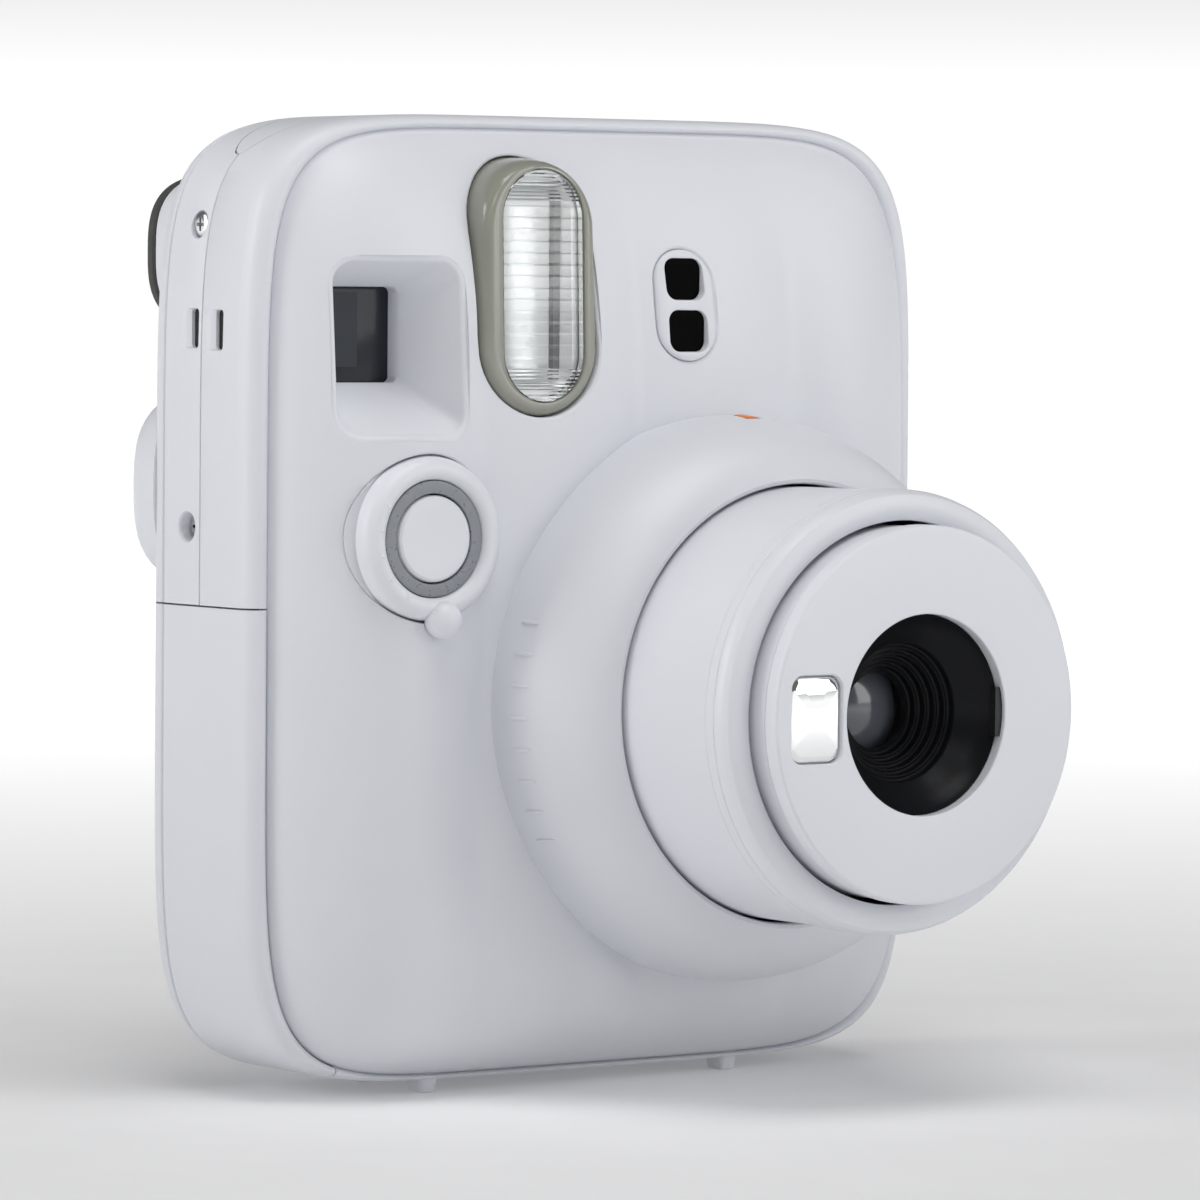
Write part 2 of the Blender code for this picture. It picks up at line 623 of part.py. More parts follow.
def shutter_controls():
    centre = (BUTTON_X, BUTTON_Z)
    face = panel_y(*centre)
    top = -(face - 1.9)
    floor = -(face + 1.1)
    ring = turned("self_timer_ring", [(7.2, top - 0.3), (7.6, top), (8.7, top + 0.15), (9.6, top - 0.5),
                                      (10.1, top - 1.5), (10.1, floor), (7.2, floor)],
                  SHELL_WHITE, 40, centre)
    angle = radians(RING_KNOB_ANGLE)
    knob = (BUTTON_X + 10.0 * cos(angle), BUTTON_Z + 10.0 * sin(angle))
    bm = bmesh.new()
    bmesh.ops.create_uvsphere(bm, u_segments=16, v_segments=10, radius=2.35 * MM)
    bmesh.ops.translate(bm, verts=bm.verts, vec=world(knob[0], -top + 0.5, knob[1]))
    bmesh.ops.bisect_plane(bm, geom=bm.verts[:] + bm.edges[:] + bm.faces[:], clear_outer=True,
                           plane_co=world(0, face - 0.65, 0), plane_no=(0, 1, 0))
    bmesh.ops.holes_fill(bm, edges=[e for e in bm.edges if e.is_boundary])
    join(ring, add_object("timer_knob", finish_bmesh(bm, "timer_knob"), None, True))
    turned("button_light_ring", tube_profile(5.7, 6.6, -floor + 3.0, -top + 0.6), LIGHT_GREY, 32,
           centre)
    button = turned("shutter_button", [(0.0, top - 0.35), (3.6, top - 0.45), (5.0, top - 0.7),
                                       (BUTTON_R, top - 1.2), (BUTTON_R, floor - 2.0),
                                       (2.0, floor - 2.0), (2.0, floor - 5.6), (0.0, floor - 5.6)],
                    SHELL_WHITE, 32, centre)
    back = -(floor - 5.6)
    box("button_switch", BUTTON_X - 3.5, BUTTON_X + 3.5, back + 1.3, back + 4.3, BUTTON_Z - 2.3,
        BUTTON_Z + 4.2, BLACK_PLASTIC)
    return button


def viewfinder():
    box("viewfinder_window", -42.6, -28.6, 0.3, 1.5, 87.3, 101.8, CLEAR)
    outer = [[(x, 1.8, z) for x, z in rounded_box(-43.2, -28.0, 86.8, 102.4, 0.8, 2)],
             [(x, 19.6, z) for x, z in rounded_box(-43.0, -28.8, 95.0, 108.6, 0.8, 2)]]
    inner = [[(x, 1.0, z) for x, z in rounded_box(-42.2, -29.0, 87.6, 101.4, 0.6, 2)],
             [(x, 20.2, z) for x, z in rounded_box(-42.0, -29.8, 96.2, 107.6, 0.6, 2)]]
    tunnel = loft("viewfinder_tunnel", outer, BLACK_PLASTIC)
    cut(tunnel, loft("tunnel_hollow", inner))
    box("eyepiece_lens", -41.7, -30.1, 23.6, 25.2, 96.8, 106.9, CLEAR)
    cup = plate("eyecup", superellipse(EYE_X, EYE_Z, EYE_HALF_W, EYE_HALF_H, 3.0, 32), "y",
                26.8 + GAP, 29.0, RUBBER)
    cut(cup, plate("eyecup_hole", rounded_box(-41.9, -29.9, 96.6, 107.1, 2.5), "y", 20, 36))


# ---------------------------------------------------------------- lens group

def lens_group():
    ring_front, ring_back = -RING_FRONT_Y, -RING_BACK_Y
    turned("twist_ring", [(23.6, ring_front - 0.5), (24.2, ring_front), (26.2, ring_front - 0.1),
                          (27.1, ring_front - 0.8), (27.35, ring_front - 2.2), (27.35, ring_front - 5.0),
                          (RING_R, ring_front - 9.5), (RING_R, ring_back), (25.3, ring_back),
                          (25.3, ring_front - 1.9), (23.6, ring_front - 1.9)], SHELL_WHITE, 48)
    turned("guide_sleeve", tube_profile(SLEEVE_INNER_R, SLEEVE_OUTER_R, -20.0, -45.4),
           BLACK_PLASTIC, 40)
    turned("inner_barrel", tube_profile(BARREL_R - BARREL_WALL, BARREL_R, -27.0, -49.4),
           SHELL_WHITE, 48)
    disc_front = -DISC_FRONT_Y
    disc = turned("front_disc", [(APERTURE_R, disc_front), (22.6, disc_front), (DISC_R, disc_front - 0.5),
                                 (DISC_R, disc_front - 2.3), (APERTURE_R, disc_front - 2.3)],
                  SHELL_WHITE, 48)
    left, right, low, high = MIRROR
    pocket = rounded_box(left - GAP, right + GAP, low - GAP, high + GAP, 1.8)
    cut(disc, plate("mirror_pocket", pocket, "y", -56, DISC_FRONT_Y + 1.3))
    plate("selfie_mirror", rounded_box(left, right, low, high, 1.6), "y", DISC_FRONT_Y + 0.1,
          DISC_FRONT_Y + 1.0, SILVER)
    steps = 5
    hood = [(APERTURE_R - GAP, disc_front - 0.6)]
    hood += [(APERTURE_R - GAP, -HOOD_BACK_Y), (HOOD_BACK_R, -HOOD_BACK_Y)]
    for i in range(steps):
        radius = HOOD_BACK_R + (11.4 - HOOD_BACK_R) * i / steps
        forward = -HOOD_BACK_Y + 1.6 + (disc_front - 2.4 + HOOD_BACK_Y) * i / steps
        hood.append((radius, forward))
        hood.append((radius + (11.4 - HOOD_BACK_R) / steps, forward))
    hood.append((11.4, disc_front - 0.6))
    turned("lens_hood", hood, BLACK_PLASTIC, 32)
    turned("front_element", [(0.0, 40.4), (3.0, 40.1), (5.4, 39.2), (6.0, 38.6), (6.0, 36.6),
                             (0.0, 36.6)], CLEAR, 32)
    turned("lens_cell", flanged(6.3, 8.4, 20.9, -34.9, -38.8, -40.6), BLACK_PLASTIC, 32)
    turned("shutter_plate", tube_profile(4.6, 20.9, -33.4, -34.6), BLACK_PLASTIC, 32)
    turned("rear_element", [(0.0, 31.0), (4.0, 31.0), (4.2, 30.8), (4.2, 29.4), (2.4, 28.9),
                            (0.0, 28.7)], CLEAR, 32)
    turned("rear_cell", flanged(4.5, 6.4, 20.9, -28.4, -29.9, -31.2), BLACK_PLASTIC, 32)
    for name, side in (("shutter_blade_upper", 1), ("shutter_blade_lower", -1)):
        outline = [(LENS_X - 5.6, LENS_Z + side * 0.15), (LENS_X + 12.0, LENS_Z + side * 0.15),
                   (LENS_X + 13.6, LENS_Z + side * 1.6), (LENS_X + 12.0, LENS_Z + side * 3.6),
                   (LENS_X + 3.0, LENS_Z + side * 6.0), (LENS_X - 5.6, LENS_Z + side * 5.4)]
        depth = -33.1 if side > 0 else -32.5
        blade = plate(name, outline[::side], "y", depth, depth + 0.3, STEEL)
        hinge = (LENS_X + 11.4, depth, LENS_Z + side * 1.8)
        set_origin(blade, hinge)
    box("index_mark", LENS_X - 0.9, LENS_X + 0.9, -16.6, -13.6, LENS_Z + 34.6, LENS_Z + 36.0, ORANGE)


# ---------------------------------------------------------------- film path

def gear(name, teeth, radius, x0, x1, y, z, mat):
    """Toothed wheel along X; odd outline points are tooth tips."""
    points = []
    for tooth in range(teeth):
        for offset, reach in ((0.0, -0.3), (0.25, 0.2), (0.5, 0.2), (0.75, -0.3)):
            angle = 2 * pi * (tooth + offset) / teeth
            points.append((y + (radius + reach) * cos(angle),
                           z + (radius + reach) * sin(angle)))
    return plate(name, points, "x", x0, x1, mat)


def film_path():
    x0, x1, y0, y1, z0, z1 = PACK
    chamber = box("film_chamber", x0 - 1.6, x1 + 1.6, y0 - 1.7, y1 + 0.4, z0 - 1.6, z1 + 1.5,
                  BLACK_PLASTIC)
    ring = [outline_point(inset(INNER, GAP), u, v) for u, v in edge_parameters()]
    keep_inside(chamber, plate("cavity", ring, "y", -5, 30))
    cut(chamber, box("chamber_hollow", x0 - 0.4, x1 + 0.4, y0 - 0.4, y1 + 4, z0 - 0.4, z1 + 0.4),
        box("chamber_window", LENS_X - 23, LENS_X + 23, 0, 12, LENS_Z - 31, LENS_Z + 31),
        box("film_exit", x0 + 3, x1 - 3, FILM_Y - 0.6, FILM_Y + 0.7, z1 - 2, z1 + 4))
    box("film_pack", x0, x1, y0, y1, z0, z1, BLACK_PLASTIC)
    start = [(x, -12.4, z) for x, z in rounded_box(LENS_X - 9, LENS_X + 9, LENS_Z - 11, LENS_Z + 11,
                                                   1.5, 2)]
    wide = [(x, y0 - 2.0, z) for x, z in rounded_box(LENS_X - 24.5, LENS_X + 24.5, LENS_Z - 32.5,
                                                     LENS_Z + 32.5, 1.5, 2)]
    cone = loft("dark_cone", [start, wide], BLACK_PLASTIC)
    cut(cone, loft("cone_hollow", [
        [(x, -14.0, z) for x, z in rounded_box(LENS_X - 7, LENS_X + 7, LENS_Z - 9, LENS_Z + 9, 1, 2)],
        [(x, y0 - 1.0, z) for x, z in rounded_box(LENS_X - 23.9, LENS_X + 23.9, LENS_Z - 31.9,
                                                  LENS_Z + 31.9, 1, 2)]]))
    gear_x0, gear_x1 = 37.0, 39.6
    front_y, rear_y = FILM_Y - ROLLER_R - 0.15, FILM_Y + ROLLER_R + 0.15
    rollers = (("eject_roller_front", front_y), ("eject_roller_rear", rear_y))
    for name, y in rollers:
        roller = cylinder(name, "x", ROLLER_R, -14.0, 36.0, (y, ROLLER_Z), STEEL, 20)
        shaft = cylinder(name + "_shaft", "x", 1.2, -17.0, 42.0, (y, ROLLER_Z), segments=12)
        join(roller, shaft, gear(name + "_gear", 14, 3.4, gear_x0, gear_x1, y, ROLLER_Z, None))
    box("roller_bracket_left", -17.6, -15.0, 2.4, 15.6, ROLLER_Z - 3.5, ROLLER_Z + 5.2, STEEL)
    box("roller_bracket_right", 40.4, 43.0, 2.4, 15.6, ROLLER_Z - 3.5, ROLLER_Z + 4.6, STEEL)
    for side in ("left", "right"):
        bracket = bpy.data.objects["roller_bracket_" + side]
        for name, y in rollers:
            cut(bracket, cylinder(side + "_bearing", "x", 1.5, -30, 50, (y, ROLLER_Z), segments=12))
    return gear_x0, gear_x1, front_y, rear_y


def drive_train(gear_x0, gear_x1, front_y, rear_y):
    motor_y, motor_z = -1.5, 98.6
    idler_y, idler_z = 1.55, 104.0
    cylinder("eject_motor", "x", 4.6, 14.0, 34.5, (motor_y, motor_z), STEEL, 24)
    for name, teeth, radius, y, z, mat in (
            ("motor_pinion", 10, 2.4, motor_y, motor_z, GEAR_WHITE),
            ("idler_gear", 14, 3.2, idler_y, idler_z, GEAR_WHITE)):
        wheel = gear(name, teeth, radius, gear_x0, gear_x1, y, z, mat)
        set_origin(wheel, ((gear_x0 + gear_x1) / 2, y, z))


def circuit_and_power():
    board = box("circuit_board", -24.0, 12.5, 1.6, 2.8, 84.6, 106.2, BOARD_GREEN)
    chips = [box("chip", x, x + 5, 2.5, 3.9, z, z + 5) for x, z in ((-20, 88), (-10, 95), (2, 89))]
    join(board, *chips)
    cylinder("flash_capacitor", "x", 4.8, -48.5, -24.5, (9.5, 80.5), BLACK_PLASTIC, 24)
    cradle = box("battery_cradle", -37.5, -22.5, -1.0, 19.5, 14.4, 66.4, BLACK_PLASTIC)
    for index, (x, y) in enumerate(CELLS):
        cell = cylinder("battery_cell_" + str(index + 1), "z", CELL_R, CELL_LOW, CELL_HIGH - 1.4,
                        (x, y), CELL_SLEEVE, 24)
        join(cell, cylinder("cell_nub", "z", 2.7, CELL_HIGH - 2, CELL_HIGH, (x, y), segments=16))
        cut(cradle, cylinder("cell_bore", "z", CELL_R + GAP, CELL_LOW - GAP, CELL_HIGH + GAP, (x, y),
                             segments=24))
    cut(cradle, box("cradle_mouth", -60, -35.0, -20, 10.5, CELL_LOW - GAP, CELL_HIGH + GAP))


def film_door():
    x0, x1, z0, z1 = DOOR
    low, high = 19.95, 22.35
    door = plate("film_door", rounded_box(x0 + GAP + 1.2, x1 - GAP, z0 + GAP, z1 - GAP, 1.0), "y",
                 low, high, SHELL_WHITE)
    keep_inside(door, door_limit("door_limit", GAP))
    edge = cylinder("door_edge", "z", 1.2, z0 + GAP, z1 - GAP, (HINGE_X, HINGE_Y), segments=16)
    pins = cylinder("door_pins", "z", 0.65, z0 - 2.6, z1 + 2.6, (HINGE_X, HINGE_Y), segments=12)
    join(door, edge, pins)
    window = rounded_box(18.0, 24.0, 40.0, 72.0, 2.0)
    cut(door, plate("check_window_hole", window, "y", 15, 30),
        box("latch_pocket", 38.0, 46.6, 21.2, 30, 46.0, 68.0),
        box("latch_channel", 41.8, 60.0, 20.35, 21.85, 53.6, 60.4))
    set_origin(baked(door), (HINGE_X, HINGE_Y, (z0 + z1) / 2))
    plate("film_check_window", rounded_box(18.3, 23.7, 40.3, 71.7, 1.8), "y", 20.4, 22.0, CLEAR)
    latch = box("door_latch", 41.0, 46.2, 21.5, 23.4, 46.4, 67.6, SHELL_WHITE)
    join(latch, box("latch_tongue", 44.5, 47.7, 20.65, 21.65, 54.0, 60.0))
    return door


def small_pieces():
    plate("counter_window", capsule(34.0, 113.0, 3.0, 2.0, 4), "y", 20.4, 22.0, CLEAR)
    cylinder("film_counter_dial", "y", 4.2, 17.4, 18.8, (34.0, 113.0), SHELL_WHITE, 32)
    for name, y, z in (("side_screw_upper", 12.9, 108.0), ("side_screw_lower", 13.4, 70.7)):
        cylinder(name, "x", 1.9, -50.9 + 0.3, -50.2, (y, z), STEEL, 20)


front_cover()
rear_cover()
battery_door()
top_slot_bezel()
flash_unit()
sensor_unit()
shutter_controls()
viewfinder()
lens_group()
drive_train(*film_path())
circuit_and_power()
film_door()
small_pieces()
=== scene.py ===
"""Instant camera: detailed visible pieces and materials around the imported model.

Shapes are worked out in millimetres. x runs to the right seen from the front and z up;
depths ("y") count from the crease between body rim and padded panel, minus is forward.
"""
import bpy
import bmesh
from math import asin, cos, sin, pi, radians, sqrt
from mathutils import Matrix, Vector


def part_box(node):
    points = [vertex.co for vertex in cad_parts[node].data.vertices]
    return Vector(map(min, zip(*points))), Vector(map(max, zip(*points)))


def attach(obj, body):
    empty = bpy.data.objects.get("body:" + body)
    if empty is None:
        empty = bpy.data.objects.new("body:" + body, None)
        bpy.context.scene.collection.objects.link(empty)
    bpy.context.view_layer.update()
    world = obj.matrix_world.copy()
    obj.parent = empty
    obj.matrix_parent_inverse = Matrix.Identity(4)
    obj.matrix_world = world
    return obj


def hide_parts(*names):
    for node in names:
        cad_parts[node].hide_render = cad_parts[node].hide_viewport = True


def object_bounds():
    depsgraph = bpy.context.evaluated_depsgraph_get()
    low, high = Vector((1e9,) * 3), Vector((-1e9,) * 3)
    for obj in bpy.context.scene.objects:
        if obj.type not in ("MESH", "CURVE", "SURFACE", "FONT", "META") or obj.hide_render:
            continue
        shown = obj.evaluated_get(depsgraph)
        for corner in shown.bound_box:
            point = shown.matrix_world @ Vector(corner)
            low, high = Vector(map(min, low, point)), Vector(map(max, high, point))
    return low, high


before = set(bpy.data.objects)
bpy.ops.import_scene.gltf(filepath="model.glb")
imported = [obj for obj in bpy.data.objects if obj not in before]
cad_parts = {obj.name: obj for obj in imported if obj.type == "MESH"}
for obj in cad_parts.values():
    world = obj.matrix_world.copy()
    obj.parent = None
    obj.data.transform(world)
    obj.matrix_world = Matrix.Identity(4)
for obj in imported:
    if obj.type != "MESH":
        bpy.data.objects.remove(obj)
CAD_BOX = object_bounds()

MM = 0.001
CREASE_Y = 10.3
SEAM = 0.2               # visible gap between neighbouring shell pieces
GRID = 96                # cells across the padded panel
ROUND = 128              # segments of a large turned piece
EDGE_STEPS = 4           # facets of a rounded plate edge
LIP_STEPS = 5            # facets of a rounded opening
LIP_EDGE = 0.12          # rounding of a wall that ends at a seam
CUTTER_PROUD = 3.0       # how far a cutter starts in front of the panel
VOLUME_BACK_Y = 6.0      # back of the solids that stand for the space behind the panel
CRISP_ANGLE = radians(28)
MERGE_DISTANCE, TINY_EDGE = 0.000002, 0.000001

# Body outlines: half width, half height, centre height of a superellipse
OUTLINE_POWER = 6.9
CREASE = (48.95, 58.95, 61.35)
OUTER = (52.0, 60.25, 61.75)
INNER = (50.0, 58.6, 61.6)
PANEL_INNER = (48.0, 57.7, 61.35)
PANEL_WALL = 1.9
INNER_SHARE = 0.98       # depth of the panel's inside against its outside
PARTING_Y = 10.5
BACK_Y = 22.3
BACK_INNER_Y = 19.9
GROOVE_Y = 18.95

PANEL_DEPTH_LOW, PANEL_DEPTH_HIGH = 10.9, 9.8
SIDE_ROUND, TOP_ROUND, BOTTOM_ROUND = 0.31, 0.54, 0.20
BAND_COUNT, BAND_CROWN = 4, 1.5
CORNER_BLEND = 4         # how fast the roundings of side and end change over at a corner
CREASE_SOFTNESS = 0.03   # share of the half width over which the panel leaves its crease

# Flash unit: depth of its flat front 1 mm past its low and high ends, and its half size
FLASH_FRONT_LOW_Y, FLASH_FRONT_HIGH_Y = -11.3, -10.3
FLASH_HALF_W, FLASH_HALF_H = 8.6, 16.0

SHROUD_R = 35.7

# Insert round the film slot: middle depth, half length, half width, outline power
LEAF_Y, LEAF_HALF_L, LEAF_HALF_W, LEAF_POWER = 10.6, 46.5, 6.2, 2.4

# Strap slots in the side wall: front depth, low and high ends
STRAP_FRONT, STRAP_REAR = (5.7, 92.6, 97.5), (11.2, 92.8, 97.6)

# Film door: its opening and its hinge axis
DOOR = (-24.2, 48.2, 5.8, 108.4)
HINGE_X, HINGE_Y = -22.7, 21.15

FINDER_MOUTH = (-43.3, -27.1, 82.5, 103.5)
FINDER_THROAT = (-41.9, -31.1, 88.7, 100.5)
THROAT_Y = -1.6

# Dome of the lens shroud: a quarter ellipse turned about the lens axis
DOME_R, DOME_F, DOME_HALF_R, DOME_HALF_F = 26.0, 13.0, 9.7, 14.3

FOOT_X = (-24.2, 22.8)
THUMB_X, THUMB_Z, THUMB_HALF_W, THUMB_HALF_L, THUMB_HEIGHT = -39.0, 75.2, 12.8, 12.6, 9.2


def span(node):
    """Limits of a CAD node in millimetres: x, depth and z pairs."""
    low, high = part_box(node)
    x, y, z = ((a / MM, b / MM) for a, b in zip(low, high))
    return x, (y[0] - CREASE_Y, y[1] - CREASE_Y), z


def middle(pair):
    return (pair[0] + pair[1]) / 2


def centre(node):
    x, y, z = span(node)
    return middle(x), middle(z)


LENS_X, LENS_Z = centre("twist_ring")
BUTTON_X, BUTTON_Z = centre("shutter_button")
KNOB_R = 2.35
BUTTON_FACE_Y = span("self_timer_ring")[1][0] + KNOB_R + 1.4   # panel depth at the button
FLASH_X, FLASH_Z = centre("flash_bezel")
SENSOR_X, SENSOR_Z = centre("sensor_bezel")


# ---------------------------------------------------------------- materials

def node_tree(name):
    mat = bpy.data.materials.new(name)
    mat.use_nodes = True
    tree = mat.node_tree
    return mat, tree, tree.nodes["Principled BSDF"]


def noise(tree, coords, scale, detail=3.0, rough=0.5):
    tex = tree.nodes.new("ShaderNodeTexNoise")
    tex.inputs["Scale"].default_value = scale
    tex.inputs["Detail"].default_value = detail
    tex.inputs["Roughness"].default_value = rough
    tree.links.new(coords, tex.inputs["Vector"])
    return tex.outputs["Fac"]


def spread(tree, value, low, high, start=0.3, end=0.7):
    ranged = tree.nodes.new("ShaderNodeMapRange")
    ranged.inputs["From Min"].default_value = start
    ranged.inputs["From Max"].default_value = end
    ranged.inputs["To Min"].default_value = low
    ranged.inputs["To Max"].default_value = high
    tree.links.new(value, ranged.inputs["Value"])
    return ranged.outputs["Result"]


def two_tones(tree, value, first, second):
    ramp = tree.nodes.new("ShaderNodeValToRGB")
    ramp.color_ramp.elements[0].position = 0.3
    ramp.color_ramp.elements[1].position = 0.7
    ramp.color_ramp.elements[0].color = (*first, 1.0)
    ramp.color_ramp.elements[1].color = (*second, 1.0)
    tree.links.new(value, ramp.inputs["Fac"])
    return ramp.outputs["Color"]


def moulded(name, colour, rough, grain=1500.0, bump=0.02, metallic=0.0, vary=0.03, coat=0.0,
            soft_edge=0.0, through=0.0, ior=1.46, stretch=None, shine=0.5):
    """Moulded or drawn surface: two close tones, uneven gloss and a fine grain."""
    mat, tree, shader = node_tree(name)
    place = tree.nodes.new("ShaderNodeTexCoord").outputs["Object"]
    if stretch:
        mapping = tree.nodes.new("ShaderNodeMapping")
        mapping.inputs["Scale"].default_value = stretch
        tree.links.new(place, mapping.inputs["Vector"])
        place = mapping.outputs["Vector"]
    broad = noise(tree, place, 60.0, 2.0)
    fine = noise(tree, place, grain, 3.0, 0.6)
    lighter = tuple(min(1.0, c * (1 + vary)) for c in colour)
    darker = tuple(c * (1 - vary) for c in colour)
    tree.links.new(two_tones(tree, broad, darker, lighter), shader.inputs["Base Color"])
    tree.links.new(spread(tree, fine, rough * 0.85, min(1.0, rough * 1.15)),
                   shader.inputs["Roughness"])
    relief = tree.nodes.new("ShaderNodeBump")
    relief.inputs["Strength"].default_value = bump
    relief.inputs["Distance"].default_value = 0.0001
    tree.links.new(fine, relief.inputs["Height"])
    if soft_edge:
        bevel = tree.nodes.new("ShaderNodeBevel")
        bevel.samples = 4
        bevel.inputs["Radius"].default_value = soft_edge * MM
        tree.links.new(bevel.outputs["Normal"], relief.inputs["Normal"])
    tree.links.new(relief.outputs["Normal"], shader.inputs["Normal"])
    shader.inputs["Metallic"].default_value = metallic
    shader.inputs["Coat Weight"].default_value = coat
    shader.inputs["Coat Roughness"].default_value = 0.2
    shader.inputs["IOR"].default_value = ior
    shader.inputs["Specular IOR Level"].default_value = shine
    shader.inputs["Transmission Weight"].default_value = through
    return mat


SHELL = moulded("shell_white", (0.735, 0.75, 0.795), 0.42, 1400.0, 0.10, soft_edge=0.12, vary=0.008)
SATIN = moulded("satin_white", (0.76, 0.775, 0.82), 0.36, 1800.0, 0.05, soft_edge=0.1, vary=0.008)
BLACK = moulded("black_plastic", (0.018, 0.018, 0.02), 0.42, 1500.0, 0.12, vary=0.15)
MATTE_BLACK = moulded("matte_black", (0.012, 0.012, 0.013), 0.7, 1200.0, 0.2, vary=0.2)
HOOD_BLACK = moulded("hood_black", (0.009, 0.0095, 0.011), 0.34, 1600.0, 0.06, vary=0.12,
                     shine=0.14)
RUBBER = moulded("dark_rubber", (0.055, 0.056, 0.052), 0.72, 1500.0, 0.35, vary=0.12)
CLEAR = moulded("clear_plastic", (0.97, 0.985, 0.98), 0.03, 700.0, 0.004, through=1.0, ior=1.49,
                vary=0.01)
GLASS = moulded("lens_glass", (0.93, 0.96, 0.99), 0.015, 500.0, 0.002, through=1.0, ior=1.6,
                vary=0.01)
TINTED = moulded("tinted_bezel", (0.50, 0.505, 0.43), 0.16, 900.0, 0.02, through=0.45, ior=1.5,
                 vary=0.05, coat=0.4)
SILVER = moulded("silver", (0.93, 0.94, 0.95), 0.42, 900.0, 0.01, metallic=0.75, vary=0.01)
DEEP_BLACK = moulded("deep_black", (0.002, 0.002, 0.0022), 0.5, 1200.0, 0.02, vary=0.2,
                     shine=0.03)
DARK_STRIP = moulded("dark_strip", (0.09, 0.095, 0.1), 0.3, 900.0, 0.02, vary=0.1)
PANE_DARK = moulded("finder_pane_dark", (0.02, 0.024, 0.032), 0.12, 900.0, 0.01, vary=0.1,
                    shine=0.25)
PANE_FIELD = moulded("finder_field", (0.036, 0.042, 0.052), 0.16, 900.0, 0.01, vary=0.06,
                     shine=0.25)
COATED_GLASS = moulded("coated_glass", (0.14, 0.152, 0.18), 0.1, 700.0, 0.005, through=0.2, ior=1.6,
                       vary=0.05, coat=0.5)
MIRROR = moulded("mirror_silver", (0.95, 0.955, 0.96), 0.03, 400.0, 0.003, metallic=1.0, vary=0.01)
STEEL = moulded("steel", (0.6, 0.61, 0.63), 0.28, 900.0, 0.08, metallic=1.0, vary=0.06,
                stretch=(1.0, 12.0, 1.0))
SCREW_STEEL = moulded("screw_steel", (0.72, 0.72, 0.74), 0.2, 1200.0, 0.05, metallic=1.0, vary=0.05)
GEAR_WHITE = moulded("gear_white", (0.78, 0.77, 0.73), 0.42, 1200.0, 0.05, vary=0.02)
GREEN = moulded("board_green", (0.015, 0.14, 0.06), 0.35, 900.0, 0.1, vary=0.12, coat=0.4)
GREY = moulded("light_grey", (0.30, 0.325, 0.355), 0.3, 1200.0, 0.05, through=0.25, ior=1.5,
               vary=0.04,
               coat=0.3)
SLEEVE = moulded("cell_sleeve", (0.08, 0.2, 0.38), 0.3, 800.0, 0.03, vary=0.06, coat=0.3)
ORANGE = moulded("orange_mark", (0.85, 0.22, 0.03), 0.4, 1500.0, 0.05, vary=0.04)
BROWN_FILM = moulded("film_pack_black", (0.03, 0.03, 0.032), 0.5, 1300.0, 0.15, vary=0.15)


# ---------------------------------------------------------------- outlines

def at(x, y, z):
    return Vector((x, y + CREASE_Y, z)) * MM


def outline_point(outline, u, v):
    """Point of the unit square mapped onto a superellipse outline."""
    half_w, half_h, centre_z = outline
    size = max(abs(u), abs(v))
    norm = (abs(u) ** OUTLINE_POWER + abs(v) ** OUTLINE_POWER) ** (1 / OUTLINE_POWER)
    pull = size / norm if size else 1.0
    return half_w * u * pull, centre_z + half_h * v * pull


def panel_height(x, z):
    """How far the padded panel stands forward of the crease plane."""
    half_w, half_h, centre_z = CREASE
    across, up = x / half_w, (z - centre_z) / half_h
    norm = (abs(across) ** OUTLINE_POWER + abs(up) ** OUTLINE_POWER) ** (1 / OUTLINE_POWER)
    inwards = max(0.0, 1.0 - norm)
    inwards = inwards ** 2 / (inwards + CREASE_SOFTNESS)
    side, end = abs(across) ** CORNER_BLEND, abs(up) ** CORNER_BLEND
    upright = end / (side + end) if side + end else 0.0
    share = SIDE_ROUND + ((TOP_ROUND if up > 0 else BOTTOM_ROUND) - SIDE_ROUND) * upright
    rest = max(0.0, 1.0 - inwards / share)
    edge = sqrt(1.0 - rest * rest)
    depth = PANEL_DEPTH_LOW + (PANEL_DEPTH_HIGH - PANEL_DEPTH_LOW) * (up + 1) / 2
    band = max(0.0, min(1.0, (across + 1) / 2)) * BAND_COUNT % 1.0
    return depth * edge + BAND_CROWN * 4 * band * (1 - band) * edge * edge


def panel_y(x, z):
    """Depth of the panel surface at a point of the front view."""
    return -panel_height(x, z)


def flat_y(x, z):
    return 0.0


def capsule(x, z, half_w, half_h, per_end=24):
    """Outline function: points of a capsule grown by an amount."""
    def points(grow):
        radius = half_w + grow
        reach = half_h - half_w
        ring = []
        for end in (1, -1):
            for step in range(per_end + 1):
                angle = radians((0 if end > 0 else 180) + 180 * step / per_end)
                ring.append((x + radius * cos(angle), z + end * reach + radius * sin(angle)))
        return ring
    return points


def flat_capsule(x, z, half_w, half_h, per_end=12):
    """Capsule lying along x."""
    def points(grow):
        upright = capsule(x, z, half_h, half_w, per_end)(grow)
        return [(x + b - z, z + a - x) for a, b in upright][::-1]
    return points


def rounded_box(x0, x1, z0, z1, radius, per_corner=6):
    """Outline function: points of a rounded rectangle grown by an amount."""
    def points(grow):
        turn = max(0.05, radius + grow)
        left, right, low, high = x0 - grow, x1 + grow, z0 - grow, z1 + grow
        ring = []
        for cx, cz, start in ((right - turn, high - turn, 0), (left + turn, high - turn, 90),
                              (left + turn, low + turn, 180), (right - turn, low + turn, 270)):
            for step in range(per_corner + 1):
                angle = radians(start + 90 * step / per_corner)
                ring.append((cx + turn * cos(angle), cz + turn * sin(angle)))
        return ring
    return points


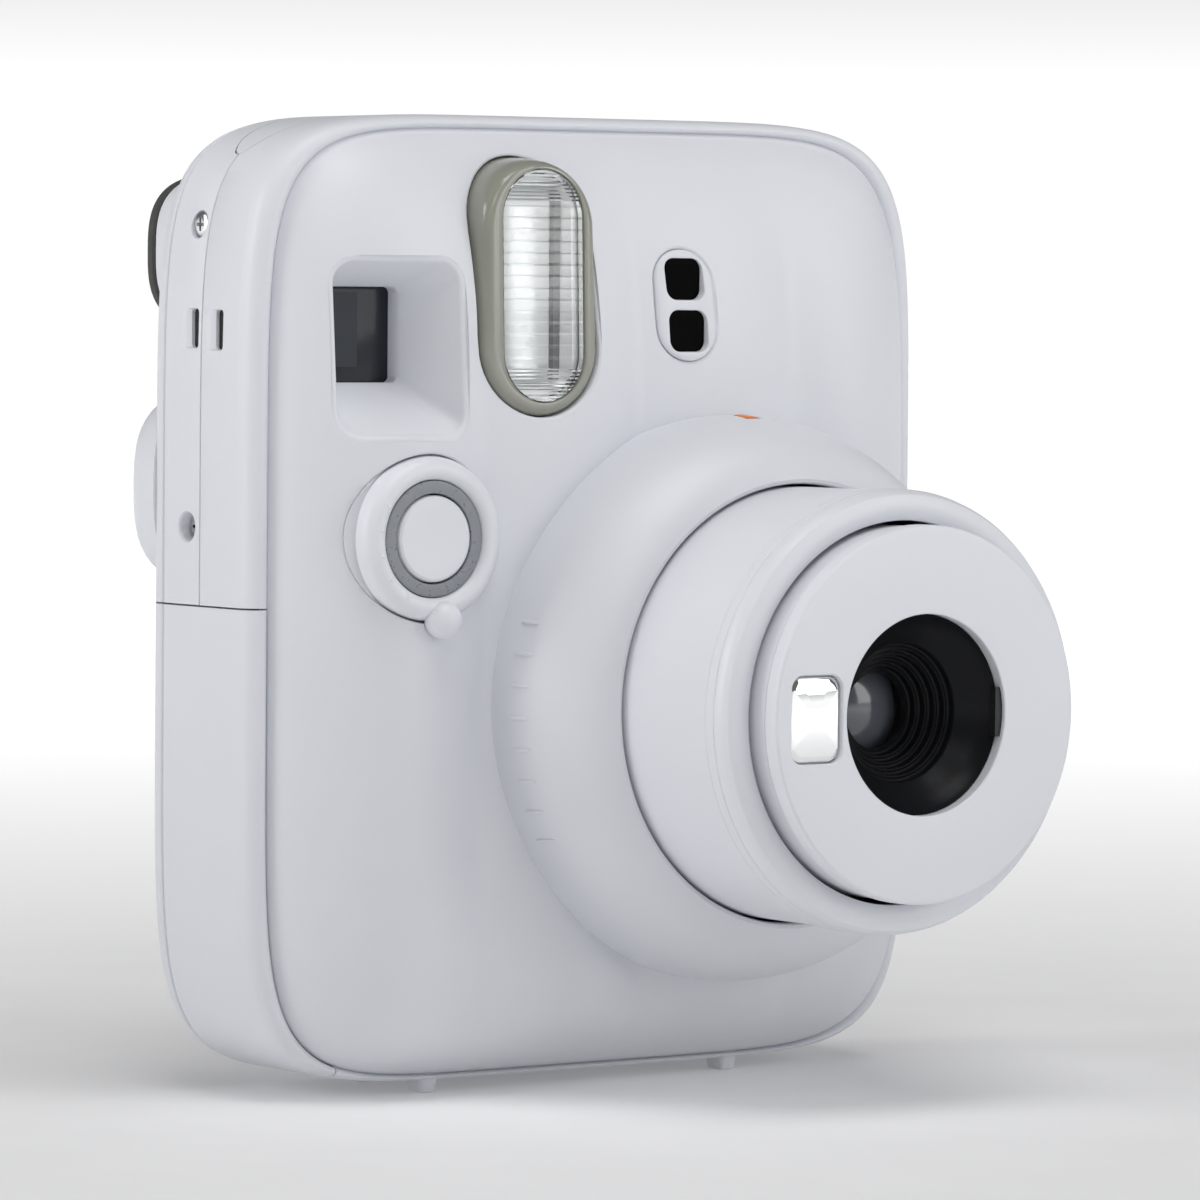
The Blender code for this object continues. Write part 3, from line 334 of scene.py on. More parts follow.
def squircle(x, z, half_w, half_h, power=3.0, count=72):
    """Outline function: points of a superellipse grown by an amount."""
    def points(grow):
        ring = []
        for step in range(count):
            c, s = cos(2 * pi * step / count), sin(2 * pi * step / count)
            ring.append((x + (half_w + grow) * abs(c) ** (2 / power) * (1 if c >= 0 else -1),
                         z + (half_h + grow) * abs(s) ** (2 / power) * (1 if s >= 0 else -1)))
        return ring
    return points


def disc(x, z, radius, count=64):
    return squircle(x, z, radius, radius, 2.0, count)


def smooth_curve(points, per=6):
    """Catmull-Rom curve through points of any size."""
    ends = [points[0]] + list(points) + [points[-1]]
    curve = []
    for a, b, c, d in zip(ends, ends[1:], ends[2:], ends[3:]):
        for step in range(per):
            t = step / per
            curve.append(tuple(0.5 * (2 * q + (r - p) * t + (2 * p - 5 * q + 4 * r - s) * t * t
                                      + (3 * q - p - 3 * r + s) * t ** 3)
                               for p, q, r, s in zip(a, b, c, d)))
    curve.append(tuple(points[-1]))
    return curve


def fillet(profile, steps):
    """Round the corners of a closed outline whose points carry a third number, the radius."""
    result = []
    count = len(profile)
    for i, point in enumerate(profile):
        radius = point[2] if len(point) > 2 else 0.0
        if not radius:
            result.append(point[:2])
            continue
        here = Vector(point[:2])
        before = Vector(profile[i - 1][:2]) - here
        after = Vector(profile[(i + 1) % count][:2]) - here
        angle = before.angle(after)
        reach = min(radius / max(0.01, abs(sin(angle / 2) / cos(angle / 2))),
                    before.length * 0.49, after.length * 0.49)
        start, end = here + before.normalized() * reach, here + after.normalized() * reach
        for step in range(steps + 1):
            t = step / steps
            result.append(tuple((1 - t) ** 2 * start + 2 * t * (1 - t) * here + t * t * end))
    return result


# ---------------------------------------------------------------- builders

def new_object(name, bm, mat=None):
    bmesh.ops.remove_doubles(bm, verts=bm.verts, dist=MERGE_DISTANCE)
    bmesh.ops.dissolve_degenerate(bm, edges=bm.edges, dist=TINY_EDGE)
    bmesh.ops.recalc_face_normals(bm, faces=bm.faces)
    mesh = bpy.data.meshes.new(name)
    bm.to_mesh(mesh)
    bm.free()
    obj = bpy.data.objects.new(name, mesh)
    bpy.context.scene.collection.objects.link(obj)
    if mat:
        mesh.materials.append(mat)
        shade(obj)
    return obj


def shade(obj):
    """Smooth faces, with edges sharper than CRISP_ANGLE kept crisp."""
    bm = bmesh.new()
    bm.from_mesh(obj.data)
    for face in bm.faces:
        face.smooth = True
    for edge in bm.edges:
        if len(edge.link_faces) == 2:
            edge.smooth = edge.calc_face_angle(0.0) < CRISP_ANGLE
    bm.to_mesh(obj.data)
    bm.free()
    return obj


def bridge(bm, loops, closed_ends=(True, True)):
    """Quads between neighbouring point loops, with flat ends where asked."""
    made = [[bm.verts.new(point) for point in loop] for loop in loops]
    count = len(made[0])
    for first, second in zip(made, made[1:]):
        for i in range(count):
            j = (i + 1) % count
            bm.faces.new((first[i], first[j], second[j], second[i]))
    if closed_ends[0]:
        bm.faces.new(made[0][::-1])
    if closed_ends[1]:
        bm.faces.new(made[-1])


def stack(name, outline, stations, mat=None, follow=flat_y, axis="y"):
    """Solid through an outline grown by each station's first number, at its second.

    follow gives the depth that the second number counts from.
    """
    loops = []
    for grow, depth in stations:
        ring = []
        for across, up in outline(grow):
            if axis == "y":
                ring.append(at(across, follow(across, up) + depth, up))
            elif axis == "x":
                ring.append(at(depth, across, up))
            else:
                ring.append(at(across, up, depth))
        loops.append(ring)
    bm = bmesh.new()
    bridge(bm, loops)
    return new_object(name, bm, mat)


def rounded_stations(start, end, edge):
    """Stations of a plate whose edges are rounded, ends given as depths."""
    turn = 1 if end > start else -1
    angles = [pi / 2 * i / EDGE_STEPS for i in range(EDGE_STEPS + 1)]
    arc = [(-edge * (1 - sin(a)), edge * (1 - cos(a))) for a in angles]
    first = [(grow, start + turn * depth) for grow, depth in arc]
    last = [(grow, end - turn * depth) for grow, depth in arc[::-1]]
    return first + last


def lathe(name, profile, mat=None, segments=ROUND, centre_at=None, steps=4):
    """Closed (radius, forward[, fillet]) profile turned about an axis along -y."""
    cx, cz = centre_at or (LENS_X, LENS_Z)
    points = fillet(profile, steps)
    bm = bmesh.new()
    loops = []
    for step in range(segments):
        angle = 2 * pi * step / segments
        loops.append([bm.verts.new(at(cx + r * cos(angle), -f, cz + r * sin(angle)))
                      for r, f in points])
    count = len(points)
    for i in range(segments):
        first, second = loops[i], loops[(i + 1) % segments]
        for a in range(count):
            b = (a + 1) % count
            if points[a][0] < 1e-6 and points[b][0] < 1e-6:
                continue
            bm.faces.new((first[a], first[b], second[b], second[a]))
    return new_object(name, bm, mat)


def solid_box(name, x, y, z):
    bm = bmesh.new()
    bmesh.ops.create_cube(bm, size=1.0)
    low, high = at(x[0], y[0], z[0]), at(x[1], y[1], z[1])
    bmesh.ops.scale(bm, vec=high - low, verts=bm.verts)
    bmesh.ops.translate(bm, vec=(low + high) / 2, verts=bm.verts)
    return new_object(name, bm)


def combine(obj, operation, *others):
    """Apply one boolean after another and remove the shapes they used."""
    for other in others:
        step = obj.modifiers.new(operation, "BOOLEAN")
        step.operation = operation
        step.object = other
        step.solver = "EXACT"
    bpy.context.view_layer.update()
    graph = bpy.context.evaluated_depsgraph_get()
    mesh = bpy.data.meshes.new_from_object(obj.evaluated_get(graph))
    obj.modifiers.clear()
    obj.data = mesh
    for other in others:
        bpy.data.objects.remove(other, do_unlink=True)
    return obj


def cut(obj, *others):
    return combine(obj, "DIFFERENCE", *others)


def join(obj, *others):
    return combine(obj, "UNION", *others)


def keep_inside(obj, other):
    return combine(obj, "INTERSECT", other)


def painted(obj, mat):
    """Give a finished boolean result its material and its shading."""
    obj.data.materials.clear()
    obj.data.materials.append(mat)
    return shade(obj)


def fit(obj, body, slot, *nodes):
    """Attach a finished piece to its body and stand for CAD nodes; slot is not used."""
    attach(obj, body)
    if nodes:
        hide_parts(*nodes)
    return obj


# ---------------------------------------------------------------- body shells

def column(i):
    """Place of a grid line across the unit square, closer together near its sides."""
    t = 2 * i / GRID - 1
    if abs(t) <= 0.5:
        return t
    push = 0.5 + 0.5 * sin((abs(t) - 0.5) * pi)
    return push if t > 0 else -push


def row(i):
    return sin((2 * i / GRID - 1) * pi / 2)


def ring_points(outline):
    """Points round an outline, in step with the edge of add_grid."""
    steps = range(GRID)
    bottom = [(column(i), -1.0) for i in steps]
    right = [(1.0, row(i)) for i in steps]
    top = [(column(GRID - i), 1.0) for i in steps]
    left = [(-1.0, row(GRID - i)) for i in steps]
    return [outline_point(outline, u, v) for u, v in bottom + right + top + left]


def add_grid(bm, outline, depth):
    """Face over a whole outline, at the depth that a function of x and z gives."""
    verts = {}
    for i in range(GRID + 1):
        for j in range(GRID + 1):
            u, v = column(i), row(j)
            x, z = outline_point(outline, u, v)
            verts[i, j] = bm.verts.new(at(x, depth(x, z), z))
    for i in range(GRID):
        for j in range(GRID):
            bm.faces.new((verts[i, j], verts[i + 1, j], verts[i + 1, j + 1], verts[i, j + 1]))


def add_rings(bm, stations):
    """Walls through outlines at their depths."""
    loops = [[at(x, y, z) for x, z in ring_points(outline)] for outline, y in stations]
    bridge(bm, loops, (False, False))


def between(first, second, share):
    return tuple(a + (b - a) * share for a, b in zip(first, second))


def inset(outline, amount):
    return outline[0] - amount, outline[1] - amount, outline[2]


RIM = ((0.0, 0.0), (0.15, -0.55), (0.4, -0.75), (0.7, -0.25), (0.9, 0.8), (1.0, 2.4))


def rim_stations():
    return [(between(CREASE, OUTER, share), y) for share, y in smooth_curve(RIM, 4)]


def lip(outline, y, turn):
    """Small rounding where a wall ends at a seam; turn is the way to the seam."""
    part = LIP_EDGE * 0.3
    return [(outline, y - turn * LIP_EDGE), (inset(outline, part), y - turn * part),
            (inset(outline, LIP_EDGE), y)]


def pillow_volume(name, proud):
    """Solid behind the padded panel's surface moved forward by proud."""
    bm = bmesh.new()
    add_grid(bm, CREASE, lambda x, z: panel_y(x, z) - proud)
    add_rings(bm, [(CREASE, -proud), (CREASE, VOLUME_BACK_Y)])
    add_grid(bm, CREASE, lambda x, z: VOLUME_BACK_Y)
    return new_object(name, bm)


def outline_prism(name, outline, start, end):
    bm = bmesh.new()
    bridge(bm, [[at(x, y, z) for x, z in ring_points(outline)] for y in (start, end)])
    return new_object(name, bm)


BATTERY_TOP_Z = span("battery_door")[2][1] + 0.15
BATTERY_EDGE_X, BATTERY_BACK_Y = -38.8, 21.3


def battery_zone(name, margin):
    """Region of the outer wall that the battery door takes up."""
    zone = solid_box(name, (-60, BATTERY_EDGE_X + margin), (-3, BATTERY_BACK_Y + margin),
                     (-5, BATTERY_TOP_Z + margin))
    return cut(zone, outline_prism(name + "_core", inset(CREASE, margin - 0.06), -12, 40))


GROOVE = [(0.0, GROOVE_Y - 0.45), (0.12, GROOVE_Y - 0.3), (0.42, GROOVE_Y - 0.18),
          (0.5, GROOVE_Y), (0.42, GROOVE_Y + 0.18), (0.2, GROOVE_Y + 0.3), (0.1, GROOVE_Y + 0.5)]
BACK_EDGE = [(0.22, 20.2), (0.45, 21.0), (0.75, 21.6), (1.2, 22.0), (1.7, 22.2), (2.4, BACK_Y)]


def wall_ring(name, thickness, front, back):
    """Band of body wall from the crease rearwards, between two depths."""
    bm = bmesh.new()
    outer = rim_stations() + [(OUTER, 8.0), (OUTER, 15.0)]
    outer += [(inset(OUTER, amount), y) for amount, y in GROOVE]
    outer += [(inset(OUTER, 0.22), 20.2), (inset(OUTER, 0.45), 21.0), (inset(OUTER, 0.5), back)]
    inner = inset(OUTER, thickness)
    add_rings(bm, outer + [(inner, back), (inner, front), (CREASE, front), (CREASE, 0.0)])
    return new_object(name, bm)


def leaf_prism(name, margin):
    """Upright prism with the lens-shaped outline of the top insert."""
    outline = squircle(0.0, LEAF_Y, LEAF_HALF_L, LEAF_HALF_W, LEAF_POWER, 96)
    return stack(name, outline, [(margin, 104), (margin, 126)], axis="z")


def lip_arc(size, steps, start=14.0, end=90.0):
    """Stations of a rounded lip: growth of the outline, and depth below the surface."""
    angles = [radians(start + (end - start) * i / steps) for i in range(steps + 1)]
    return [(size * (1 - sin(a)), size * (1 - cos(a))) for a in angles]


def surface_cutter(name, outline, floor, lip_size):
    """Opening through the panel with a rounded lip that follows the surface."""
    arc = lip_arc(lip_size, LIP_STEPS)
    loops = []
    for grow, depth in [(arc[0][0], -CUTTER_PROUD)] + arc:
        loops.append([at(x, panel_y(x, z) + depth, z) for x, z in outline(grow)])
    loops.append([at(x, floor, z) for x, z in outline(0)])
    bm = bmesh.new()
    bridge(bm, loops)
    return new_object(name, bm)


def finder_funnel():
    """Opening of the viewfinder: rounded lip on the panel, sloping walls, upright throat."""
    mouth, throat = rounded_box(*FINDER_MOUTH, 2.6, 8), rounded_box(*FINDER_THROAT, 0.8, 8)
    arc = lip_arc(1.1, 8, 14.0, 70.0)
    loops = [[at(x, panel_y(x, z) + depth, z) for x, z in mouth(grow)]
             for grow, depth in [(arc[0][0], -4.0)] + arc]
    last = loops[-1]
    inner = [at(x, THROAT_Y, z) for x, z in throat(0)]
    loops += [[a.lerp(b, share) for a, b in zip(last, inner)] for share in (0.25, 0.5, 0.75, 0.94)]
    loops += [inner, [at(x, 0.5, z) for x, z in throat(0)]]
    bm = bmesh.new()
    bridge(bm, loops)
    return new_object("finder_funnel", bm)


def strap_slot(name, y_front, z_low, z_high):
    """Strap slot in the side wall, with a scoop that slopes in from behind it."""
    slot_w, scoop = 2.1, 1.0
    bm = bmesh.new()
    loops = []
    for reach, x, grow in ((1.0, -56.0, 0.12), (1.0, -52.04, 0.12), (0.6, -51.8, 0.05),
                           (0.0, -51.45, 0.0), (0.0, -47.0, 0.0)):
        outline = rounded_box(y_front, y_front + slot_w + scoop * reach, z_low, z_high, 0.5, 4)
        loops.append([at(x, y, z) for y, z in outline(grow)])
    bridge(bm, loops)
    return new_object(name, bm)


def strap_shade_plates():
    """Dark plates behind the two strap slots: painted shade that makes the slots read as deep holes."""
    for name, (y, _, _) in (("front", STRAP_FRONT), ("rear", STRAP_REAR)):
        pocket = stack("strap_shade_plate_" + name, rounded_box(y - 0.1, y + 2.2, 92.4, 97.8, 0.3, 4),
                       [(0.0, -51.0), (0.1, -50.9), (0.1, -49.4), (0.0, -49.2)], MATTE_BLACK,
                       axis="x")
        fit(pocket, "camera_body", "black_plastic")


def front_cover():
    bm = bmesh.new()
    add_grid(bm, CREASE, panel_y)
    seam = PARTING_Y - SEAM / 2
    stations = rim_stations() + [(OUTER, 6.0)] + lip(OUTER, seam, 1)
    stations += [(INNER, seam), (INNER, PANEL_WALL), (PANEL_INNER, PANEL_WALL)]
    add_rings(bm, stations)
    add_grid(bm, PANEL_INNER, lambda x, z: PANEL_WALL - INNER_SHARE * panel_height(x, z))
    cover = new_object("body_front", bm)
    blocks = []
    for block in (solid_box("finder_block", (-45.6, -25.4), (-7.6, 0.0), (80.2, 106.0)),
                  stack("button_boss", disc(BUTTON_X, BUTTON_Z, 11.6), [(0, -10.6), (0, -7.0)])):
        blocks.append(keep_inside(block, pillow_volume(block.name + "_limit", -0.7)))
    join(cover, *blocks)
    face = BUTTON_FACE_Y
    half_w, half_h = FLASH_HALF_W + SEAM, FLASH_HALF_H + SEAM
    cutters = [
        stack("shroud_core", disc(LENS_X, LENS_Z, 33.3, 96), [(0, -20.0), (0, 8.0)]),
        finder_funnel(),
        surface_cutter("timer_recess", disc(BUTTON_X, BUTTON_Z, 10.35, 96), face + 1.4, 0.3),
        stack("button_bore", disc(BUTTON_X, BUTTON_Z, 6.95), [(0, -16.0), (0, 0.0)]),
        surface_cutter("flash_opening", capsule(FLASH_X, FLASH_Z, half_w, half_h), 4.0, 0.45),
        surface_cutter("sensor_opening", capsule(SENSOR_X, SENSOR_Z, 4.25 + 0.03, 7.0 + 0.03), 4.0,
                       0.5),
        strap_slot("strap_front", *STRAP_FRONT),
        battery_zone("battery_zone_front", SEAM / 2),
        leaf_prism("leaf_front", SEAM / 2)]
    cut(cover, *cutters)
    fit(painted(cover, SHELL), "camera_body", "shell_white", "front_cover")


def thumb_rest(name):
    """Rounded thumb rest on the grip side of the back, flaring into it."""
    bm = bmesh.new()
    bmesh.ops.create_uvsphere(bm, u_segments=72, v_segments=36, radius=1.0)
    for vert in bm.verts:
        norm = sum(abs(c) ** 3 for c in vert.co) ** (1 / 3)
        shape = vert.co / norm
        vert.co = at(THUMB_X + shape.x * THUMB_HALF_W,
                     BACK_Y - 0.3 + shape.z * (THUMB_HEIGHT + 0.2),
                     THUMB_Z + shape.y * THUMB_HALF_L)
    bmesh.ops.bisect_plane(bm, geom=bm.verts[:] + bm.edges[:] + bm.faces[:],
                           plane_co=at(0, BACK_Y - 0.9, 0), plane_no=(0, 1, 0), clear_inner=True)
    bmesh.ops.holes_fill(bm, edges=[e for e in bm.edges if e.is_boundary])
    return new_object(name, bm)


EYE_X, EYE_Z = centre("eyecup")
EYE_HALF_W, EYE_HALF_H = 12.5, 9.9
SCREWS = ("side_screw_upper", "side_screw_lower")


def rear_cover():
    seam = PARTING_Y + SEAM / 2
    bm = bmesh.new()
    outer = [(INNER, seam)] + lip(OUTER, seam, -1)[::-1] + [(OUTER, 15.0)]
    outer += [(inset(OUTER, amount), y) for amount, y in GROOVE + BACK_EDGE]
    add_rings(bm, outer)
    add_grid(bm, inset(OUTER, 2.4), lambda x, z: BACK_Y)
    add_rings(bm, [(INNER, seam), (INNER, BACK_INNER_Y)])
    add_grid(bm, INNER, lambda x, z: BACK_INNER_Y)
    cover = new_object("body_rear", bm)
    housing = stack("eye_housing", squircle(EYE_X, EYE_Z, EYE_HALF_W, EYE_HALF_H),
                    [(0.9, 21.6), (0.9, 22.32), (0.45, 22.42), (0.12, 22.8), (0.0, 23.4),
                     (0.0, 26.4), (-0.12, 26.68), (-0.4, 26.8)])
    join(cover, housing, thumb_rest("thumb_volume"))
    x0, x1, z0, z1 = DOOR
    door_edge = stack("door_opening", rounded_box(x0, x1, z0, z1, 1.2),
                      [(0, 15.0), (0, 22.0), (0.1, 22.25), (0.35, 22.4), (0.35, 30.0)])
    keep_inside(door_edge, outline_prism("door_limit", inset(OUTER, 2.6), 10, 40))
    cutters = [door_edge, solid_box("eye_duct", (-42.1, -29.7), (15, 32), (96.4, 107.3)),
               stack("counter_opening", flat_capsule(34.0, 113.0, 3.3, 2.3),
                     [(0, 15.0), (0, 22.1), (0.1, 22.25), (0.3, 22.35), (0.3, 30.0)]),
               strap_slot("strap_rear", *STRAP_REAR),
               battery_zone("battery_zone_rear", SEAM / 2), leaf_prism("leaf_rear", SEAM / 2)]
    for node in SCREWS:
        y, z = middle(span(node)[1]), middle(span(node)[2])
        cutters.append(stack(node + "_recess", disc(y, z, 1.75), [(0.25, -56.0), (0.25, -52.04),
                             (0.08, -51.85), (0.0, -51.6), (0.0, -49.9)], axis="x"))
    for low, high in ((z0 - 3.5, z0 + 1), (z1 - 1, z1 + 3.5)):
        cutters.append(stack("pin_hole", disc(HINGE_X, HINGE_Y, 0.95, 24), [(0, low), (0, high)],
                             axis="z"))
    cutters.append(solid_box("latch_notch", (x1 - 1, x1 + 1.6), (20.2, 22.0), (52.6, 61.4)))
    cut(cover, *cutters)
    fit(painted(cover, SHELL), "camera_body", "shell_white", "rear_cover")
    for x in FOOT_X:
        for name, low, high in (("foot_front", 0.2, 3.4), ("foot_rear", 13.9, 17.3)):
            foot = stack(name + ("_left" if x < 0 else "_right"),
                         rounded_box(x - 1.1, x + 1.1, low, high, 0.5, 4),
                         [(-0.35, 0.0), (-0.1, 0.1), (0.0, 0.35), (0.25, 1.5), (0.3, 2.6)], SHELL,
                         axis="z")
            fit(foot, "camera_body", "shell_white")


def battery_door():
    door = wall_ring("battery_door_shell", 1.8, 1.2, BATTERY_BACK_Y)
    keep_inside(door, battery_zone("battery_door_zone", -SEAM / 2))
    fit(painted(door, SHELL), "battery_door", "shell_white", "battery_door")


def top_slot_bezel():
    bezel = wall_ring("top_insert", 1.6, 1.2, BATTERY_BACK_Y)
    keep_inside(bezel, leaf_prism("leaf_volume", -SEAM / 2))
    slot = flat_capsule(LENS_X, 8.4, 28.5, 1.0, 8)
    cut(bezel, stack("film_slot", slot, [(0, 100.0), (0, 121.5), (0.12, 121.8), (0.5, 122.05),
                                         (0.6, 130.0)], axis="z"))
    fit(painted(bezel, SHELL), "camera_body", "shell_white", "top_slot_bezel")


# ---------------------------------------------------------------- front details

def shroud_point(theta, slope, lift=0.0):
    """Point on the lens shroud's dome; theta round the lens, slope along its profile."""
    normal_r, normal_f = cos(slope) / DOME_HALF_R, sin(slope) / DOME_HALF_F
    size = sqrt(normal_r ** 2 + normal_f ** 2)
    r = DOME_R + DOME_HALF_R * cos(slope) + lift * normal_r / size
    f = DOME_F + DOME_HALF_F * sin(slope) + lift * normal_f / size
    return at(LENS_X + r * cos(theta), -f, LENS_Z + r * sin(theta))


def surface_bar(name, theta, slope_low, slope_high, half_width, height, mat):
    """Small raised bar lying along the shroud's profile."""
    bm = bmesh.new()
    section = [(-1.0, -0.3), (-1.0, 0.4), (-0.7, 0.85), (0.0, 1.0), (0.7, 0.85), (1.0, 0.4),
               (1.0, -0.3)]
    loops = []
    steps = 10
    for i in range(steps + 1):
        share = i / steps
        slope = slope_low + (slope_high - slope_low) * share
        r = DOME_R + DOME_HALF_R * cos(slope)
        taper = min(1.0, 0.35 + 4 * min(share, 1 - share))
        loops.append([shroud_point(theta + across * half_width * taper / r, slope, up * height
                                   * (taper if up > 0 else 1.0)) for across, up in section])
    bridge(bm, loops)
    return new_object(name, bm, mat)


def lens_shroud():
    dome = [(DOME_R + DOME_HALF_R * cos(radians(a)), DOME_F + DOME_HALF_F * sin(radians(a)))
            for a in range(78, -1, -3)]
    inner = [(24.0 + 9.4 * cos(radians(a)), 12.5 + 12.8 * sin(radians(a)))
             for a in (0, 10, 20, 30, 40, 50, 60, 68.8)]
    edge = [(27.4, 25.75), (27.42, 26.55), (27.6, 26.88)]
    shroud = lathe("lens_shroud", edge + dome + [(SHROUD_R, 1.5), (33.4, 1.5)] + inner, None, 192)
    pocket = solid_box("mark_pocket", (LENS_X - 1.2, LENS_X + 1.2), (-17.0, -13.2),
                       (LENS_Z + 34.3, LENS_Z + 37))
    cut(shroud, pocket)
    fit(painted(shroud, SHELL), "camera_body", "shell_white", "front_cover")
    for i in range(8):
        theta = radians(162.8 + 6.43 * i)
        bar = surface_bar("shroud_tick_%d" % (i + 1), theta, radians(7), radians(20), 0.25, 0.24,
                          SHELL)
        fit(bar, "camera_body", "shell_white")


def field_plate(name, half_width, rows, columns, front, back, cx, mat):
    """Solid between two depth fields over a symmetric upright region."""
    bm = bmesh.new()
    sides = []
    for depth in (front, back):
        verts = []
        for z in rows:
            reach = max(0.02, half_width(z))
            line = []
            for i in range(columns + 1):
                x = cx + reach * sin((2 * i / columns - 1) * pi / 2)
                line.append(bm.verts.new(at(x, depth(x, z), z)))
            verts.append(line)
        for low, high in zip(verts, verts[1:]):
            for i in range(columns):
                bm.faces.new((low[i], low[i + 1], high[i + 1], high[i]))
        sides.append(verts)
    first, second = sides
    for i in (0, columns):
        for low, high, low_b, high_b in zip(first, first[1:], second, second[1:]):
            bm.faces.new((low[i], high[i], high_b[i], low_b[i]))
    for j in (0, -1):
        for i in range(columns):
            bm.faces.new((first[j][i], first[j][i + 1], second[j][i + 1], second[j][i]))
    return new_object(name, bm, mat)


def flash_y(z):
    """Depth of the flash unit's flat front."""
    share = (z - FLASH_Z + FLASH_HALF_H + 1) / (2 * FLASH_HALF_H + 2)
    return FLASH_FRONT_LOW_Y + (FLASH_FRONT_HIGH_Y - FLASH_FRONT_LOW_Y) * share


def flash_surround(seat):
    """Tinted bezel: a wall leaning in from the panel to a flat front round the lens seat."""
    outline = capsule(FLASH_X, FLASH_Z, FLASH_HALF_W, FLASH_HALF_H, 32)
    loops = [[at(x, -1.2, z) for x, z in outline(0)]]
    for grow, share in ((0.0, 0.0), (-0.08, 0.3), (-0.2, 0.55), (-0.38, 0.76), (-0.62, 0.9),
                        (-0.95, 0.975), (-1.3, 1.0)):
        ring = []
        for (x0, z0), (x, z) in zip(outline(0), outline(grow)):
            base = max(panel_y(x0, z0) + 0.45, flash_y(z) + 1.0)
            ring.append(at(x, base + (flash_y(z) - base) * share, z))
        loops.append(ring)
    for grow, depth in ((0.25, 0.0), (0.06, 0.08), (0.0, 0.3), (0.0, 1.2)):
        loops.append([at(x, flash_y(z) + depth, z) for x, z in seat(grow)])
    loops.append([at(x, -1.2, z) for x, z in seat(0)])
    loops.append(loops[0])
    bm = bmesh.new()
    bridge(bm, loops, (False, False))
    fit(new_object("flash_surround", bm, TINTED), "camera_body", "tinted_bezel", "flash_bezel")


def flash_unit():
    (x0, x1), _, (z0, z1) = span("flash_lens")
    lens_x, lens_z = middle((x0, x1)), middle((z0, z1))
    half_w, half_h = (x1 - x0) / 2, (z1 - z0) / 2
    flash_surround(capsule(lens_x, lens_z, half_w + 0.15, half_h + 0.15, 32))
    straight = half_h - half_w

    def reach(z):
        past = max(0.0, abs(z - lens_z) - straight)
        return sqrt(max(0.0, half_w ** 2 - past ** 2))

    top_zone, low_zone = z1 - 3.8, z0 + 3.9

    def rib(z):
        if z > top_zone or z < low_zone:
            phase = (z - top_zone) / 0.46 % 1.0
            return 0.15 * (1 - abs(2 * phase - 1))
        phase = (z - low_zone) / 1.45 % 1.0
        return 0.06 * max(0.0, 1 - min(phase, 1 - phase) * 1.45 / 0.11)

    rows = [z0 + (z1 - z0) * i / 420 for i in range(421)]
    lens = field_plate("flash_window", reach, rows, 22, lambda x, z: flash_y(z) + 0.3 - rib(z),
                       lambda x, z: flash_y(z) + 1.7, lens_x, CLEAR)
    fit(lens, "camera_body", "clear_plastic", "flash_lens")

    def trough(x, z):
        side = min(1.0, abs(x - lens_x + 0.6) / (half_w - 0.3))
        end = max(0.0, abs(z - lens_z) - (half_h - 4.6)) / 3.0
        depth = 2.6 * (1 - side ** 3) * max(0.0, 1 - min(1.0, end) ** 2)
        return min(-1.2, flash_y(z) + 2.0 + depth)

    back_rows = [z0 + (z1 - z0) * i / 160 for i in range(161)]
    dish = field_plate("flash_dish", reach, back_rows, 40, trough, lambda x, z: -0.5, lens_x,
                       SILVER)
    fit(dish, "camera_body", "silver", "flash_reflector")
    strip = stack("flash_side_strip", rounded_box(lens_x + 2.9, lens_x + 3.9, low_zone - 0.2,
                                                  top_zone + 0.2, 0.15, 3),
                  [(0.0, FLASH_FRONT_HIGH_Y + 2.3), (0.0, FLASH_FRONT_HIGH_Y + 3.2)], DARK_STRIP)
    fit(strip, "camera_body", "black_plastic")
    (tx0, tx1), (ty0, ty1), (tz0, tz1) = span("flash_tube")
    tube_x, tube_y, tube_r = middle((tx0, tx1)), middle((ty0, ty1)), (tx1 - tx0) / 2
    tube = stack("flash_lamp", disc(tube_x, tube_y, tube_r, 32),
                 rounded_stations(tz0, tz1, 0.5), CLEAR, axis="z")
    fit(tube, "camera_body", "clear_plastic", "flash_tube")
    for name, low, high in (("upper", tz1 - 1.6, tz1 - 0.3), ("lower", tz0 + 0.3, tz0 + 1.6)):
        cap = stack("lamp_cap_" + name, disc(tube_x, tube_y, tube_r + 0.12, 32),
                    rounded_stations(low, high, 0.2), STEEL, axis="z")
        fit(cap, "camera_body", "steel")


def sensor_unit():
    outer = capsule(SENSOR_X, SENSOR_Z, 4.25, 7.0, 24)
    bm = bmesh.new()
    loops = [[at(x, -5.5, z) for x, z in outer(0)]]
    for grow, depth in ((0.0, 0.2), (0.0, 0.0), (-0.12, -0.16), (-0.35, -0.27), (-0.7, -0.32),
                        (-1.2, -0.32), (-2.4, -0.32), (-3.6, -0.32), (-4.2, -0.32)):
        loops.append([at(x, panel_y(x, z) + depth, z) for x, z in outer(grow)])
    bridge(bm, loops)
    bezel = new_object("sensor_surround", bm)
    windows = [(name, *centre(name)) for name in ("light_sensor_upper", "light_sensor_lower")]
    cut(bezel, *[stack(name + "_hole", rounded_box(x - 2.75, x + 2.75, z - 2.6, z + 2.6, 1.4, 8),
                       [(0.25, -3.0), (0.25, -0.33), (0.06, -0.26), (0.0, -0.1), (0.0, 12.0)],
                       follow=panel_y) for name, x, z in windows])
    fit(painted(bezel, SHELL), "camera_body", "shell_white", "sensor_bezel")
    for name, x, z in windows:
        front = panel_y(x, z) + 0.2
        tile = stack(name + "_tile", rounded_box(x - 2.72, x + 2.72, z - 2.57, z + 2.57, 1.37, 8),
                     [(-0.1, front), (0.0, front + 0.1), (0.0, -7.9)], DEEP_BLACK)
        fit(tile, "camera_body", "black_plastic", name)


